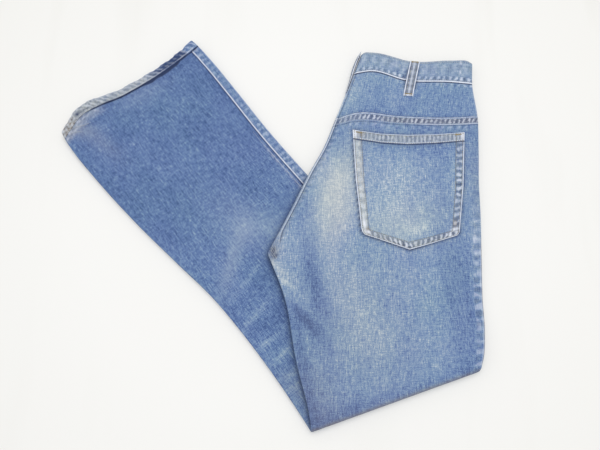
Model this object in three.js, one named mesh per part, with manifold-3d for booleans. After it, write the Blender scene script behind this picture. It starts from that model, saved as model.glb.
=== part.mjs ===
// Flared jeans, folded in half along the centre with the backs outward, then folded
// under themselves across the thighs so that the lower legs fan out beneath the seat.
// Millimetres, +Z up. The garment lies flat on the surface at z = 0.
import * as THREE from 'three';
import { mergeVertices } from 'three/addons/utils/BufferGeometryUtils.js';
import Module from 'manifold-3d';

const wasm = await Module();
wasm.setup();

// Cloth
const DENIM = 1.2;
const SEAM_GAP = 0.3;
const BAND_WALL = 2.1;
const HEM_WALL = 2.2;
const HEM_SLIT = 0.4;
const POCKET_WALL = 1.2;
const LOOP_WALL = 1.2;
const FELL_WIDTH = 12;
const FELL_RISE = 0.6;

// Middle of the folded garment's plan, where the part's origin lies
const PLAN_CENTRE = [0.07, -3.2];

// The fold across the thighs, in the plan of the unfolded garment
const FOLD_POINT = [165.4, -238.1];
const FOLD_HEADING = 18.9;
const FOLD_RADIUS = 0.5;
const FOLD_ENDS = { start: [-116, 112], finish: [-119, 100] };
const STACK = 6.3;
const FOLD_MIDDLE = FOLD_RADIUS + STACK / 2;
const FOLD_LENGTH = Math.PI * FOLD_MIDDLE;

// How the upper half comes down from the lower leg to the surface
const LOWER_OUTSEAM_FROM = [274, -206];
const LOWER_OUTSEAM_TO = [53.7, 58.5];
const SHOULDER = 4;
const SLOPE = 62;
const BAND_LIFT = 1.5;

const heading = THREE.MathUtils.degToRad(FOLD_HEADING);
const alongFold = [Math.cos(heading), Math.sin(heading)];
const beyondFold = [Math.sin(heading), -Math.cos(heading)];

function foldPoint(along, beyond) {
  const x = FOLD_POINT[0] + along * alongFold[0] + beyond * beyondFold[0];
  const y = FOLD_POINT[1] + along * alongFold[1] + beyond * beyondFold[1];
  return [x, y];
}

// Cross sections from the waist to the hem. The inner end is the centre back seam above
// the crotch and the inseam below it, and the outer end is the outseam. Rise is how far
// the line bows towards the waist at 15, 45 and 80 percent of the way across. Stack is
// the height of both legs on each other, and steps is the number of strips to the next.
const SECTIONS = [
  {
    name: 'band_top', inner: [133.5, 254.5], outer: [297.5, 238.5], rise: [0.5, -9, -2],
    stack: 9.3, steps: 2,
  },
  { name: 'waist_seam', inner: [121, 217], outer: [294.5, 200], rise: [7, -3.5, 0], stack: 7.5, steps: 3 },
  { name: 'yoke_seam', inner: [92.8, 143.5], outer: [298, 148], rise: [9, 2.5, -1.3], stack: 7, steps: 2 },
  { name: 'seat_high', inner: [75, 97.5], outer: [295.3, 100], rise: [4, 2, 0], stack: 6.8, steps: 2 },
  { name: 'seat_middle', inner: [54.5, 57], outer: [291, 46], rise: [0, 0, 0], stack: 6.6, steps: 2 },
  { name: 'seat_low', inner: [31.5, 7.8], outer: [288.7, -8], rise: [0, 0, 0], stack: 6.4, steps: 3 },
  { name: 'crotch', inner: [-0.5, -57], outer: [285, -62], rise: [0, 0, 0], stack: STACK, steps: 2 },
  { name: 'thigh', inner: [22, -115], outer: [282, -112], rise: [0, 0, 0], stack: STACK, steps: 2 },
  { name: 'thigh_low', inner: [37, -195], outer: [279.5, -162], rise: [0, 0, 0], stack: STACK, steps: 2 },
  {
    name: 'fold_start', inner: foldPoint(FOLD_ENDS.start[0], 0), outer: foldPoint(FOLD_ENDS.start[1], 0),
    rise: [0, 0, 0], stack: STACK, steps: 6,
  },
  {
    name: 'fold_end', inner: foldPoint(FOLD_ENDS.finish[0], FOLD_LENGTH),
    outer: foldPoint(FOLD_ENDS.finish[1], FOLD_LENGTH), rise: [0, 0, 0], stack: STACK, steps: 2,
  },
  { name: 'knee_high', inner: [60, -350], outer: [269.5, -318], rise: [0, 0, 0], stack: STACK, steps: 2 },
  { name: 'knee', inner: [60.4, -430], outer: [266.5, -425], rise: [0, 0, 0], stack: STACK, steps: 1 },
  { name: 'knee_low', inner: [57, -490.6], outer: [264.3, -490], rise: [0, 0, 0], stack: STACK, steps: 2 },
  { name: 'flare_start', inner: [46.1, -560.5], outer: [262, -558], rise: [0, 0, 0], stack: STACK, steps: 2 },
  { name: 'flare_high', inner: [34.5, -637], outer: [260.2, -637], rise: [0, 0, 0], stack: STACK, steps: 2 },
  { name: 'flare_low', inner: [25, -730], outer: [262, -730], rise: [-1, 0, 0], stack: 6.5, steps: 2 },
  { name: 'above_hem', inner: [22.3, -785], outer: [262.3, -785], rise: [-8, -2, 1], stack: 7.6, steps: 1 },
  {
    name: 'hem_seam', inner: [23, -806], outer: [260.6, -816.5], rise: [-14.5, -2, 3.5],
    stack: 8.7, steps: 1,
  },
  { name: 'hem_edge', inner: [25, -819], outer: [258.6, -829.8], rise: [-17, -2.5, 4], stack: 9.9, steps: 0 },
];
const RISE_AT = [0, 0.15, 0.45, 0.8, 1];
const row = Object.fromEntries(SECTIONS.map((section, index) => [section.name, index]));

// Soft ridges that the cloth keeps, in the plan of the unfolded garment
const FOLDS = [
  { name: 'seat_to_thigh', at: [150, -110], heading: -38, length: 95, width: 20, height: 0.9 },
  { name: 'under_pocket', at: [225, -95], heading: -60, length: 70, width: 18, height: 0.7 },
  { name: 'crotch_drag', at: [55, -70], heading: -25, length: 60, width: 15, height: 0.8 },
  { name: 'knee_drag', at: [105, -500], heading: 25, length: 60, width: 14, height: 0.9 },
  { name: 'shin_buckle', at: [120, -620], heading: 70, length: 90, width: 20, height: 0.8 },
  { name: 'flare_buckle', at: [190, -735], heading: 80, length: 80, width: 24, height: 1.1 },
];
const FOLD_CLEAR = 45;

// Columns across a panel: shares of each nose radius, the felled strip, then even shares
const STRIP_INSETS = [5, FELL_WIDTH];
const EVEN_COLUMNS = 8;
const NOSE_45 = Math.SQRT1_2;

// Hidden fronts: how far their centre front edge lies inside the centre back seam, and
// how much further they lie from the backs there
const FRONT_INSET = 25;
const FRONT_EASE = 0.6;
const FRONT_START = 2;

// Back pockets, in plan
const POCKET_OUTLINE = [
  [117.5, 127], [157, 120.5], [195.7, 118.6], [236, 119.6], [276.8, 122.8], [268.5, 40], [258.5, -24],
  [254.5, -30.5], [188.6, -51.6], [129, -31.5], [125, -25], [119.8, 50],
];

// How far a trimming block reaches past the cloth on either side
const CUT_REACH = 30;

// Belt loops
const LOOP_WIDTH = 14;
const LOOP_SHARE = 0.483;
const LOOP_ARCH = 1.4;
const BACK_LOOP_HEIGHT = 12.2;
const LOOP_STATIONS = [
  { at: 0.02, arch: 0, stand: 0.3 },
  { at: 0.3, arch: 0.7, stand: 2.6 },
  { at: 0.65, arch: 1, stand: 3.6 },
  { at: 0.98, arch: 0.4, stand: 3 },
  { at: 1.2, arch: 0.1, stand: 1.2 },
  { at: 1.42, arch: 0, stand: 0.3 },
];

const COLOURS = {
  denim: 0x7f93ba,
  denimPale: 0x97abc8,
  denimDark: 0x6479a4,
};

function lerp(from, to, share) {
  return from + (to - from) * share;
}

function smooth(value) {
  const share = Math.min(1, Math.max(0, value));
  return share * share * (3 - 2 * share);
}

// A smooth curve through values at uneven knots
function curve(knots, values, at) {
  const last = knots.length - 1;
  let i = 0;
  while (i < last - 1 && at > knots[i + 1]) {
    i += 1;
  }
  const slopes = values.slice(1).map((value, k) => (value - values[k]) / (knots[k + 1] - knots[k]));
  const tangent = (k) => {
    if (k === 0) {
      return slopes[0];
    }
    if (k === last) {
      return slopes[last - 1];
    }
    const before = knots[k] - knots[k - 1];
    const after = knots[k + 1] - knots[k];
    return (slopes[k] * before + slopes[k - 1] * after) / (before + after);
  };
  const span = knots[i + 1] - knots[i];
  const s = (at - knots[i]) / span;
  const bend = (2 * s - 3) * s * s;
  const start = values[i] * (1 + bend) - values[i + 1] * bend;
  return start + span * s * (1 - s) * ((1 - s) * tangent(i) - s * tangent(i + 1));
}

// An edge of the leg through the sections, with a corner where breakRow is given
function edgeCurve(side, breakRow) {
  const points = SECTIONS.map((section) => section[side]);
  const runs = breakRow === undefined
    ? [[0, points.length]]
    : [[0, breakRow + 1], [breakRow, points.length]];
  return (at) => {
    const [from, to] = runs.length > 1 && at > breakRow ? runs[1] : runs[0];
    const part = points.slice(from, to);
    const knots = [0];
    for (let i = 1; i < part.length; i += 1) {
      knots.push(knots[i - 1] + Math.hypot(part[i][0] - part[i - 1][0], part[i][1] - part[i - 1][1]));
    }
    const local = at - from;
    const i = Math.min(part.length - 2, Math.floor(local));
    const knot = lerp(knots[i], knots[i + 1], local - i);
    return [0, 1].map((axis) => curve(knots, part.map((point) => point[axis]), knot));
  };
}

const innerEdge = edgeCurve('inner', row.crotch);
const outerEdge = edgeCurve('outer');

function blendRows(pick, at) {
  const i = Math.min(SECTIONS.length - 2, Math.floor(at));
  return lerp(pick(SECTIONS[i]), pick(SECTIONS[i + 1]), at - i);
}

function seatShare(at) {
  const steps = SECTIONS[row.seat_low].steps;
  return smooth((row.crotch - at) * steps);
}

function foldRelief(x, y) {
  const beyond = (x - FOLD_POINT[0]) * beyondFold[0] + (y - FOLD_POINT[1]) * beyondFold[1];
  const clear = smooth(Math.abs(beyond - FOLD_LENGTH / 2) / FOLD_CLEAR - 0.5);
  let relief = 0;
  for (const fold of FOLDS) {
    const turn = THREE.MathUtils.degToRad(fold.heading);
    const dx = x - fold.at[0];
    const dy = y - fold.at[1];
    const along = (dx * Math.cos(turn) + dy * Math.sin(turn)) / fold.length;
    const across = (dy * Math.cos(turn) - dx * Math.sin(turn)) / fold.width;
    relief += fold.height * Math.exp(-along * along - across * across);
  }
  return relief * clear;
}

// One station across the leg: its ends in plan, its width, stack and nose radii
function station(at) {
  const inner = innerEdge(at);
  const outer = outerEdge(at);
  const width = Math.hypot(outer[0] - inner[0], outer[1] - inner[1]);
  const stack = blendRows((section) => section.stack, at);
  const leg = (stack - SEAM_GAP) / 2;
  const innerNose = lerp(leg / 2, stack / 2, seatShare(at));
  return { at, inner, outer, width, stack, leg, innerNose, outerNose: leg / 2 };
}

function riseAt(at, share) {
  const rises = [0, 1, 2].map((k) => blendRows((section) => section.rise[k], at));
  return curve(RISE_AT, [0, ...rises, 0], Math.min(1, Math.max(0, share)));
}

// The plan point a distance in from the inner end of a station
function planPoint(place, inset) {
  const share = inset / place.width;
  const x = lerp(place.inner[0], place.outer[0], share);
  const y = lerp(place.inner[1], place.outer[1], share) + riseAt(place.at, share);
  return [x, y];
}

function seatLift(y) {
  return BAND_LIFT * smooth((y + 115) / 55) + 0.9 * smooth((y - 150) / 45);
}

// Height of the underside of the upper half above the surface
function restHeight(x, y) {
  const dx = LOWER_OUTSEAM_TO[0] - LOWER_OUTSEAM_FROM[0];
  const dy = LOWER_OUTSEAM_TO[1] - LOWER_OUTSEAM_FROM[1];
  const length = Math.hypot(dx, dy);
  const past = ((x - LOWER_OUTSEAM_FROM[0]) * dy - (y - LOWER_OUTSEAM_FROM[1]) * dx) / length;
  const onLeg = 1 - smooth((past - SHOULDER) / SLOPE);
  return (STACK + 2 * FOLD_RADIUS) * onLeg + seatLift(y);
}

// Folds a plan point of the unfolded garment, at a height from the left leg's outer
// face, round the fold and into its place. Stack is the local height of both legs.
function place(x, y, height, stack) {
  const dx = x - FOLD_POINT[0];
  const dy = y - FOLD_POINT[1];
  const along = dx * alongFold[0] + dy * alongFold[1];
  const beyond = dx * beyondFold[0] + dy * beyondFold[1];
  if (beyond <= 0) {
    return new THREE.Vector3(x, y, restHeight(x, y) + height);
  }
  if (beyond >= FOLD_LENGTH) {
    const [px, py] = foldPoint(along, FOLD_LENGTH - beyond);
    return new THREE.Vector3(px, py, stack - height);
  }
  const angle = beyond / FOLD_MIDDLE;
  const radius = FOLD_RADIUS + height;
  const [px, py] = foldPoint(along, radius * Math.sin(angle));
  return new THREE.Vector3(px, py, FOLD_RADIUS + STACK + radius * Math.cos(angle));
}

// Stations from one section position to another, at each section and its steps
function stations(from, to) {
  const list = [from];
  SECTIONS.forEach((section, index) => {
    for (let step = 0; step < section.steps; step += 1) {
      const at = index + step / section.steps;
      if (at > from + 0.01 && at < to - 0.01) {
        list.push(at);
      }
    }
  });
  list.push(to);
  return list.map(station);
}

// A section position moved along the leg by a few millimetres
function shifted(index, distance) {
  const next = SECTIONS[distance < 0 ? index - 1 : index + 1];
  const lengths = ['inner', 'outer'].map((side) => {
    const [ax, ay] = SECTIONS[index][side];
    const [bx, by] = next[side];
    return Math.hypot(bx - ax, by - ay);
  });
  return index + distance / Math.min(...lengths);
}

// Columns between the rounded edges: the felled strips and even shares of the width
function flatInsets(width) {
  const insets = [...STRIP_INSETS];
  for (let k = 1; k <= EVEN_COLUMNS; k += 1) {
    insets.push(width * k / (EVEN_COLUMNS + 1));
  }
  STRIP_INSETS.slice().reverse().forEach((inset) => insets.push(width - inset));
  return insets;
}

// A closed geometry from an indexed list of points, turned to face outwards
function solid(points, faces) {
  let volume = 0;
  for (const [a, b, c] of faces) {
    volume += points[a].dot(new THREE.Vector3().crossVectors(points[b], points[c]));
  }
  const index = faces.flatMap(([a, b, c]) => (volume < 0 ? [a, c, b] : [a, b, c]));
  const geometry = new THREE.BufferGeometry();
  const positions = new Float32Array(points.flatMap((point) => point.toArray()));
  geometry.setAttribute('position', new THREE.BufferAttribute(positions, 3));
  geometry.setIndex(index);
  return geometry;
}

// Two triangles across four corners, split from the first corner or from the second
function quad(faces, a, b, c, d, fromSecond = false) {
  if (fromSecond) {
    faces.push([a, b, d], [b, c, d]);
  } else {
    faces.push([a, b, c], [a, c, d]);
  }
}

// A shell between an outer and an inner grid of points with the same rows and columns
function shell(outerRows, innerRows) {
  const rows = outerRows.length;
  const columns = outerRows[0].length;
  const count = rows * columns;
  const points = [...outerRows.flat(), ...innerRows.flat()];
  const faces = [];
  const id = (i, j) => i * columns + j;
  for (let i = 0; i < rows - 1; i += 1) {
    for (let j = 0; j < columns - 1; j += 1) {
      const corners = [id(i, j), id(i, j + 1), id(i + 1, j + 1), id(i + 1, j)];
      quad(faces, ...corners);
      const [a, b, c, d] = corners.map((corner) => corner + count);
      faces.push([a, c, b], [a, d, c]);
    }
    quad(faces, id(i, 0), id(i + 1, 0), id(i + 1, 0) + count, id(i, 0) + count);
    const end = columns - 1;
    quad(faces, id(i + 1, end), id(i, end), id(i, end) + count, id(i + 1, end) + count);
  }
  for (let j = 0; j < columns - 1; j += 1) {
    quad(faces, id(0, j + 1), id(0, j), id(0, j) + count, id(0, j + 1) + count);
    const last = rows - 1;
    quad(faces, id(last, j), id(last, j + 1), id(last, j + 1) + count, id(last, j) + count);
  }
  return solid(points, faces);
}

// Rounded edge of one wall: insets and drops for its outer face and its inner face
function nosePoints(radius, wall, lip) {
  const inside = radius - wall;
  return [
    { outer: [0, radius - lip], inner: [wall, radius - lip] },
    {
      outer: [radius * (1 - NOSE_45), radius * (1 - NOSE_45)],
      inner: [radius - inside * NOSE_45, radius - inside * NOSE_45],
    },
    { outer: [radius, 0], inner: [radius, wall] },
  ];
}

// The columns of a back layer at a station: inset from the inner end, drop of each face
function layerColumns(here, wall, raised, fell) {
  const lip = SEAM_GAP / 2;
  const left = nosePoints(here.innerNose, wall, lip);
  const right = nosePoints(here.outerNose, wall, lip).reverse();
  const columns = left.map(({ outer, inner }) => ({ outer, inner }));
  const insets = flatInsets(here.width);
  insets.forEach((inset, k) => {
    const rise = k === 0 ? Math.max(raised, fell) : raised;
    columns.push({ outer: [inset, -rise], inner: [inset, wall] });
  });
  for (const { outer, inner } of right) {
    columns.push({ outer: [here.width - outer[0], outer[1]], inner: [here.width - inner[0], inner[1]] });
  }
  return columns;
}

// A back layer of one leg. The right leg's back is the outermost at the fold, and the
// left leg's is the innermost. Raised lifts the outer face of chosen stations.
function backLayer(side, places, raised, wall = DENIM, out = 0) {
  const point = (here, [inset, drop]) => {
    const [x, y] = planPoint(here, inset);
    const stack = here.stack + foldRelief(x, y);
    const height = side === 'right' ? stack - drop + out : drop - out;
    return place(x, y, height, stack);
  };
  const outerRows = [];
  const innerRows = [];
  places.forEach((here) => {
    const onTop = side === 'right' ? here.at < row.fold_start : here.at > row.fold_end;
    const columns = layerColumns(here, wall, raised(here), onTop ? FELL_RISE : 0);
    outerRows.push(columns.map((column) => point(here, column.outer)));
    innerRows.push(columns.map((column) => point(here, column.inner)));
  });
  return shell(outerRows, innerRows);
}

// The panel is doubled along its top edge, where it is felled over the yoke
function backPanel(side) {
  const from = shifted(row.yoke_seam, SEAM_GAP);
  const fellEdge = shifted(row.yoke_seam, FELL_WIDTH);
  const plain = shifted(row.yoke_seam, FELL_WIDTH + 1);
  const to = shifted(row.hem_seam, -SEAM_GAP);
  const places = [...stations(from, fellEdge), ...stations(plain, to)];
  return backLayer(side, places, (here) => (here.at <= fellEdge ? FELL_RISE : 0));
}

function yoke(side) {
  const from = shifted(row.waist_seam, SEAM_GAP);
  return backLayer(side, stations(from, row.yoke_seam), () => 0);
}

// The hidden fronts of both legs, one on the other, with a notch between them at the edges
function frontPanels() {
  const from = shifted(row.waist_seam, FRONT_START);
  const to = shifted(row.hem_seam, -SEAM_GAP);
  const lip = SEAM_GAP / 2;
  const rings = stations(from, to).map((here) => {
    const skin = DENIM + SEAM_GAP + FRONT_EASE * seatShare(here.at);
    const inset = FRONT_INSET * seatShare(here.at);
    const nose = here.outerNose;
    const clear = Math.max(nose - skin, 0);
    const at = (distance, height, top) => {
      const [x, y] = planPoint(here, distance);
      const relief = foldRelief(x, y);
      const stack = here.stack + relief;
      return place(x, y, top ? stack - height : height, stack);
    };
    const lobe = [
      [nose + 0.4, skin], [nose - clear, nose + lip], [0, nose + lip],
      [nose * (1 - NOSE_45), nose * (1 + NOSE_45)], [nose * 0.8, here.leg],
    ];
    const middle = flatInsets(here.width).map((distance, k) => {
      return k < STRIP_INSETS.length ? distance + inset : Math.max(distance, inset + FELL_WIDTH + k);
    });
    const top = middle.map((distance) => at(distance, skin, true));
    const bottom = middle.map((distance) => at(distance, skin, false)).reverse();
    const rightTop = lobe.map(([distance, height]) => at(here.width - distance, height, true));
    const rightBottom = lobe.map(([distance, height]) => at(here.width - distance, height, false)).reverse();
    const leftBottom = lobe.map(([distance, height]) => at(inset + distance, height, false));
    const leftTop = lobe.map(([distance, height]) => at(inset + distance, height, true)).reverse();
    return [...top, ...rightTop, ...rightBottom, ...bottom, ...leftBottom, ...leftTop];
  });
  const middleCount = EVEN_COLUMNS + 2 * STRIP_INSETS.length;
  return loftFronts(rings, middleCount);
}

// Rings of the fronts joined into one solid. Each ring is the top columns, the right
// edge, the bottom columns and the left edge.
function loftFronts(rings, middleCount) {
  const count = rings[0].length;
  const edgeCount = (count - 2 * middleCount) / 2;
  const points = rings.flat();
  const faces = [];
  for (let i = 0; i < rings.length - 1; i += 1) {
    for (let k = 0; k < count; k += 1) {
      const next = (k + 1) % count;
      const under = k >= middleCount + edgeCount / 2 && k < 2 * middleCount + edgeCount + edgeCount / 2;
      quad(faces, i * count + k, i * count + next, (i + 1) * count + next, (i + 1) * count + k, under);
    }
  }
  const bottomOf = (k) => 2 * middleCount + edgeCount - 1 - k;
  const capEdge = [
    Array.from({ length: edgeCount + 2 }, (unused, k) => middleCount - 1 + k),
    Array.from({ length: edgeCount + 2 }, (unused, k) => (2 * middleCount + edgeCount - 1 + k) % count),
  ];
  [0, rings.length - 1].forEach((ringIndex, end) => {
    const base = ringIndex * count;
    const add = (a, b, c) => {
      const corners = end === 0 ? [a, c, b] : [a, b, c];
      faces.push(corners.map((corner) => base + corner));
    };
    for (let k = 0; k < middleCount - 1; k += 1) {
      add(k, k + 1, bottomOf(k + 1));
      add(k, bottomOf(k + 1), bottomOf(k));
    }
    for (const loop of capEdge) {
      const origin = rings[ringIndex][0];
      const reach = rings[ringIndex][middleCount - 1].clone().sub(origin).setZ(0).normalize();
      const flat = loop.map((k) => {
        const away = rings[ringIndex][k].clone().sub(origin);
        return new THREE.Vector2(away.dot(reach), away.z);
      });
      const sense = THREE.ShapeUtils.area(flat);
      for (const [a, b, c] of THREE.ShapeUtils.triangulateShape(flat, [])) {
        const turned = THREE.ShapeUtils.area([flat[a], flat[b], flat[c]]) * sense < 0;
        add(loop[a], turned ? loop[c] : loop[b], turned ? loop[b] : loop[c]);
      }
    }
  });
  return solid(points, faces);
}

// A closed ring of cloth whose centre line runs across the leg and back
function clothRing(path, wall, places, toPoint) {
  const count = path.length;
  const outer = [];
  const inner = [];
  for (const here of places) {
    const line = path.map((step) => [step.inset(here), step.height]);
    line.forEach(([inset, height], k) => {
      const [nx, nh] = path[k].normal;
      outer.push(toPoint(here, inset + nx * wall / 2, height + nh * wall / 2));
      inner.push(toPoint(here, inset - nx * wall / 2, height - nh * wall / 2));
    });
  }
  const points = [...outer, ...inner];
  const half = outer.length;
  const faces = [];
  for (let i = 0; i < places.length - 1; i += 1) {
    for (let k = 0; k < count; k += 1) {
      const next = (k + 1) % count;
      const corners = [i * count + k, i * count + next, (i + 1) * count + next, (i + 1) * count + k];
      quad(faces, ...corners);
      const [a, b, c, d] = corners.map((corner) => corner + half);
      faces.push([a, c, b], [a, d, c]);
    }
  }
  const last = (places.length - 1) * count;
  for (let k = 0; k < count; k += 1) {
    const next = (k + 1) % count;
    quad(faces, next, k, k + half, next + half);
    quad(faces, last + k, last + next, last + next + half, last + k + half);
  }
  return solid(points, faces);
}

// Straight and rounded stretches of a ring's centre line
function runAcross(height, normal, leftward) {
  const count = EVEN_COLUMNS + 2 * STRIP_INSETS.length;
  return Array.from({ length: count }, (unused, k) => {
    const column = leftward ? count - 1 - k : k;
    return { inset: (here) => flatInsets(here.width)[column], height, normal: [0, normal] };
  });
}

function turn(side, low, high, edge, steps, normalSign, downward = false) {
  const radius = (high - low) / 2;
  const list = [];
  for (let k = 0; k <= steps; k += 1) {
    const angle = -Math.PI / 2 + Math.PI * k / steps;
    const out = Math.cos(angle) * radius;
    const height = (low + high) / 2 + Math.sin(angle) * radius;
    const sign = side === 'left' ? -1 : 1;
    list.push({
      inset: (here) => (side === 'left' ? edge + radius - out : here.width - edge - radius + out),
      height,
      normal: [sign * Math.cos(angle) * normalSign, Math.sin(angle) * normalSign],
    });
  }
  return downward ? list.reverse() : list;
}

// The waistband is one strip round the waist, folded with the garment into four layers
function waistband() {
  const pitch = BAND_WALL + SEAM_GAP;
  const level = [0, 1, 2, 3].map((k) => BAND_WALL / 2 + k * pitch);
  const edge = BAND_WALL / 2;
  const innerEdgeOfFronts = edge + pitch;
  const path = [
    ...runAcross(level[0], -1, false),
    ...turn('right', level[0], level[1], edge, 4, 1),
    ...runAcross(level[1], 1, true),
    ...turn('left', level[1], level[2], innerEdgeOfFronts, 4, -1),
    ...runAcross(level[2], -1, false),
    ...turn('right', level[2], level[3], edge, 4, 1),
    ...runAcross(level[3], 1, true),
    ...turn('left', level[0], level[3], edge, 8, 1, true),
  ];
  const places = [0, 0.5, shifted(row.waist_seam, -SEAM_GAP)].map(station);
  return clothRing(path, BAND_WALL, places, (here, inset, height) => {
    const [x, y] = planPoint(here, inset);
    return new THREE.Vector3(x, y, BAND_LIFT + height);
  });
}

// Each leg's hem is a ring of turned cloth with a slit between its two walls
function legHem(side) {
  const pitch = HEM_WALL + HEM_SLIT;
  const from = side === 'left' ? 0 : 2 * HEM_WALL + HEM_SLIT + SEAM_GAP;
  const levels = [from + HEM_WALL / 2, from + HEM_WALL / 2 + pitch];
  const edge = HEM_WALL / 2;
  const path = [
    ...runAcross(levels[0], -1, false),
    ...turn('right', levels[0], levels[1], edge, 4, 1),
    ...runAcross(levels[1], 1, true),
    ...turn('left', levels[0], levels[1], edge, 4, 1, true),
  ];
  const stack = SECTIONS[row.hem_edge].stack;
  const places = [row.hem_seam, row.hem_edge].map(station);
  return clothRing(path, HEM_WALL, places, (here, inset, height) => {
    const [x, y] = planPoint(here, inset);
    return place(x, y, height, stack);
  });
}

function toManifold(geometry) {
  const merged = geometry.clone();
  merged.deleteAttribute('normal');
  merged.deleteAttribute('uv');
  const welded = mergeVertices(merged, 1e-4);
  const vertProperties = Float32Array.from(welded.attributes.position.array);
  const triVerts = Uint32Array.from(welded.index.array);
  return new wasm.Manifold(new wasm.Mesh({ numProp: 3, vertProperties, triVerts }));
}

function fromManifold(body) {
  const mesh = body.getMesh();
  const geometry = new THREE.BufferGeometry();
  geometry.setAttribute('position', new THREE.BufferAttribute(Float32Array.from(mesh.vertProperties), 3));
  geometry.setIndex(Array.from(mesh.triVerts));
  return geometry;
}

// A patch pocket is the panel's own layer moved out, trimmed to the pocket's outline
function backPocket(side) {
  const places = stations(row.yoke_seam + 0.2, row.crotch + 0.5);
  const layer = backLayer(side, places, () => 0, POCKET_WALL, SEAM_GAP + POCKET_WALL);
  const outline = new THREE.Shape(POCKET_OUTLINE.map(([x, y]) => new THREE.Vector2(x, y)));
  const block = new THREE.ExtrudeGeometry(outline, { depth: 3 * CUT_REACH, bevelEnabled: false });
  block.translate(0, 0, -CUT_REACH);
  return fromManifold(toManifold(block).intersect(toManifold(layer)));
}

// A strip of wall thickness from a lower face, given as left and right points
function strip(rows, thickness) {
  const lower = rows.map((pair) => pair.map((point) => point.clone()));
  const upper = rows.map((pair) => pair.map((point) => point.clone().setZ(point.z + thickness)));
  return shell(upper, lower);
}

// The belt loop in the middle of the back, lying over the waistband
function middleLoop(side) {
  const bandTop = BAND_LIFT + SECTIONS[row.band_top].stack;
  const rows = LOOP_STATIONS.map((step) => {
    const here = station(step.at);
    const centre = here.width * LOOP_SHARE;
    return [-LOOP_WIDTH / 2, LOOP_WIDTH / 2].map((offset) => {
      const [x, y] = planPoint(here, centre + offset);
      if (side === 'left') {
        return new THREE.Vector3(x, y, 0);
      }
      const yokeTop = restHeight(x, y) + here.stack;
      const under = step.at <= 1 ? bandTop : yokeTop;
      return new THREE.Vector3(x, y, under + SEAM_GAP + LOOP_ARCH * step.arch);
    });
  });
  return strip(rows, LOOP_WALL);
}

// The centre back loop stands on edge round the fold, off the waistband
function centreLoop() {
  const outerRows = [];
  const innerRows = [];
  LOOP_STATIONS.forEach((step) => {
    const [x, y] = innerEdge(step.at);
    const [ax, ay] = innerEdge(Math.max(0, step.at - 0.05));
    const [bx, by] = innerEdge(step.at + 0.05);
    const length = Math.hypot(bx - ax, by - ay);
    const out = [(by - ay) / length, -(bx - ax) / length];
    const near = step.stand;
    const far = step.stand + LOOP_WALL;
    const edgePoint = (distance, z) => new THREE.Vector3(x + out[0] * distance, y + out[1] * distance, z);
    outerRows.push([edgePoint(far, 0), edgePoint(far, BACK_LOOP_HEIGHT)]);
    innerRows.push([edgePoint(near, 0), edgePoint(near, BACK_LOOP_HEIGHT)]);
  });
  return shell(outerRows, innerRows);
}

const jeans = new THREE.Group();
jeans.position.set(-PLAN_CENTRE[0], -PLAN_CENTRE[1], 0);

function add(name, geometry, colour) {
  const material = new THREE.MeshStandardMaterial({ color: colour, roughness: 0.9, metalness: 0 });
  geometry.computeVertexNormals();
  const mesh = new THREE.Mesh(geometry, material);
  mesh.name = name;
  jeans.add(mesh);
}

for (const side of ['right', 'left']) {
  add(`${side}_back_panel`, backPanel(side), COLOURS.denim);
  add(`${side}_yoke`, yoke(side), COLOURS.denim);
  add(`${side}_back_pocket`, backPocket(side), COLOURS.denimPale);
  add(`${side}_leg_hem`, legHem(side), COLOURS.denimDark);
  add(`${side}_back_belt_loop`, middleLoop(side), COLOURS.denimDark);
}
add('centre_back_belt_loop', centreLoop(), COLOURS.denimDark);
add('front_panels', frontPanels(), COLOURS.denimDark);
add('waistband', waistband(), COLOURS.denimPale);

export default jeans;
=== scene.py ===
"""Flared jeans of washed denim, folded in half along the centre with the backs outward,
then folded under themselves across the thighs. Tables are in millimetres of the unfolded
garment's plan, and meshes are made in metres in the shared frame."""

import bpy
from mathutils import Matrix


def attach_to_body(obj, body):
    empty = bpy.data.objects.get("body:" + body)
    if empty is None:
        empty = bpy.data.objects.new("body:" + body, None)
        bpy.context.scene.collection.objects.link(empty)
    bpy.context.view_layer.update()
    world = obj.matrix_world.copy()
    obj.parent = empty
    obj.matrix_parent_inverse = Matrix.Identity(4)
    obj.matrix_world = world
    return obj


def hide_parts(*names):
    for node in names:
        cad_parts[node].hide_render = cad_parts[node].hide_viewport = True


bl_info = {
    "name": "Flared Jeans",
    "version": (1, 0, 0),
    "blender": (4, 5, 0),
    "location": "3D View > Sidebar > Jeans",
    "description": "Makes folded flared jeans with felled seams, patch pockets and belt loops",
    "category": "Object",
}

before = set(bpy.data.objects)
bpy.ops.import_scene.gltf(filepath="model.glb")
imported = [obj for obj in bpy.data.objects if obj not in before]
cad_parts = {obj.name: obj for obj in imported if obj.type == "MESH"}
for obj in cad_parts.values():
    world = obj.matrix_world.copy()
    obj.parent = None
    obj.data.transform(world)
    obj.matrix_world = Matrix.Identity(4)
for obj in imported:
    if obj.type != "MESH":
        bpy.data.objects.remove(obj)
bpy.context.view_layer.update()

import math

import bmesh
import bpy
import numpy as np
from bpy.props import FloatProperty, FloatVectorProperty, IntProperty, PointerProperty
from mathutils import Vector

MM = 0.001
PLAN_CENTRE = np.array([0.07, -3.2])

# The fold across the thighs, and how the upper half lies over the lower legs
FOLD_POINT = np.array([165.4, -238.1])
FOLD_HEADING = math.radians(18.9)
FOLD_RADIUS = 0.5
STACK = 6.3
FOLD_MIDDLE = FOLD_RADIUS + STACK / 2
FOLD_LENGTH = math.pi * FOLD_MIDDLE
FOLD_CLEAR = 45
ALONG_FOLD = np.array([math.cos(FOLD_HEADING), math.sin(FOLD_HEADING)])
BEYOND_FOLD = np.array([math.sin(FOLD_HEADING), -math.cos(FOLD_HEADING)])
LOWER_OUTSEAM = (np.array([274.0, -206.0]), np.array([53.7, 58.5]))
SHOULDER = 4
SLOPE = 62
BAND_LIFT = 1.5

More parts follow.
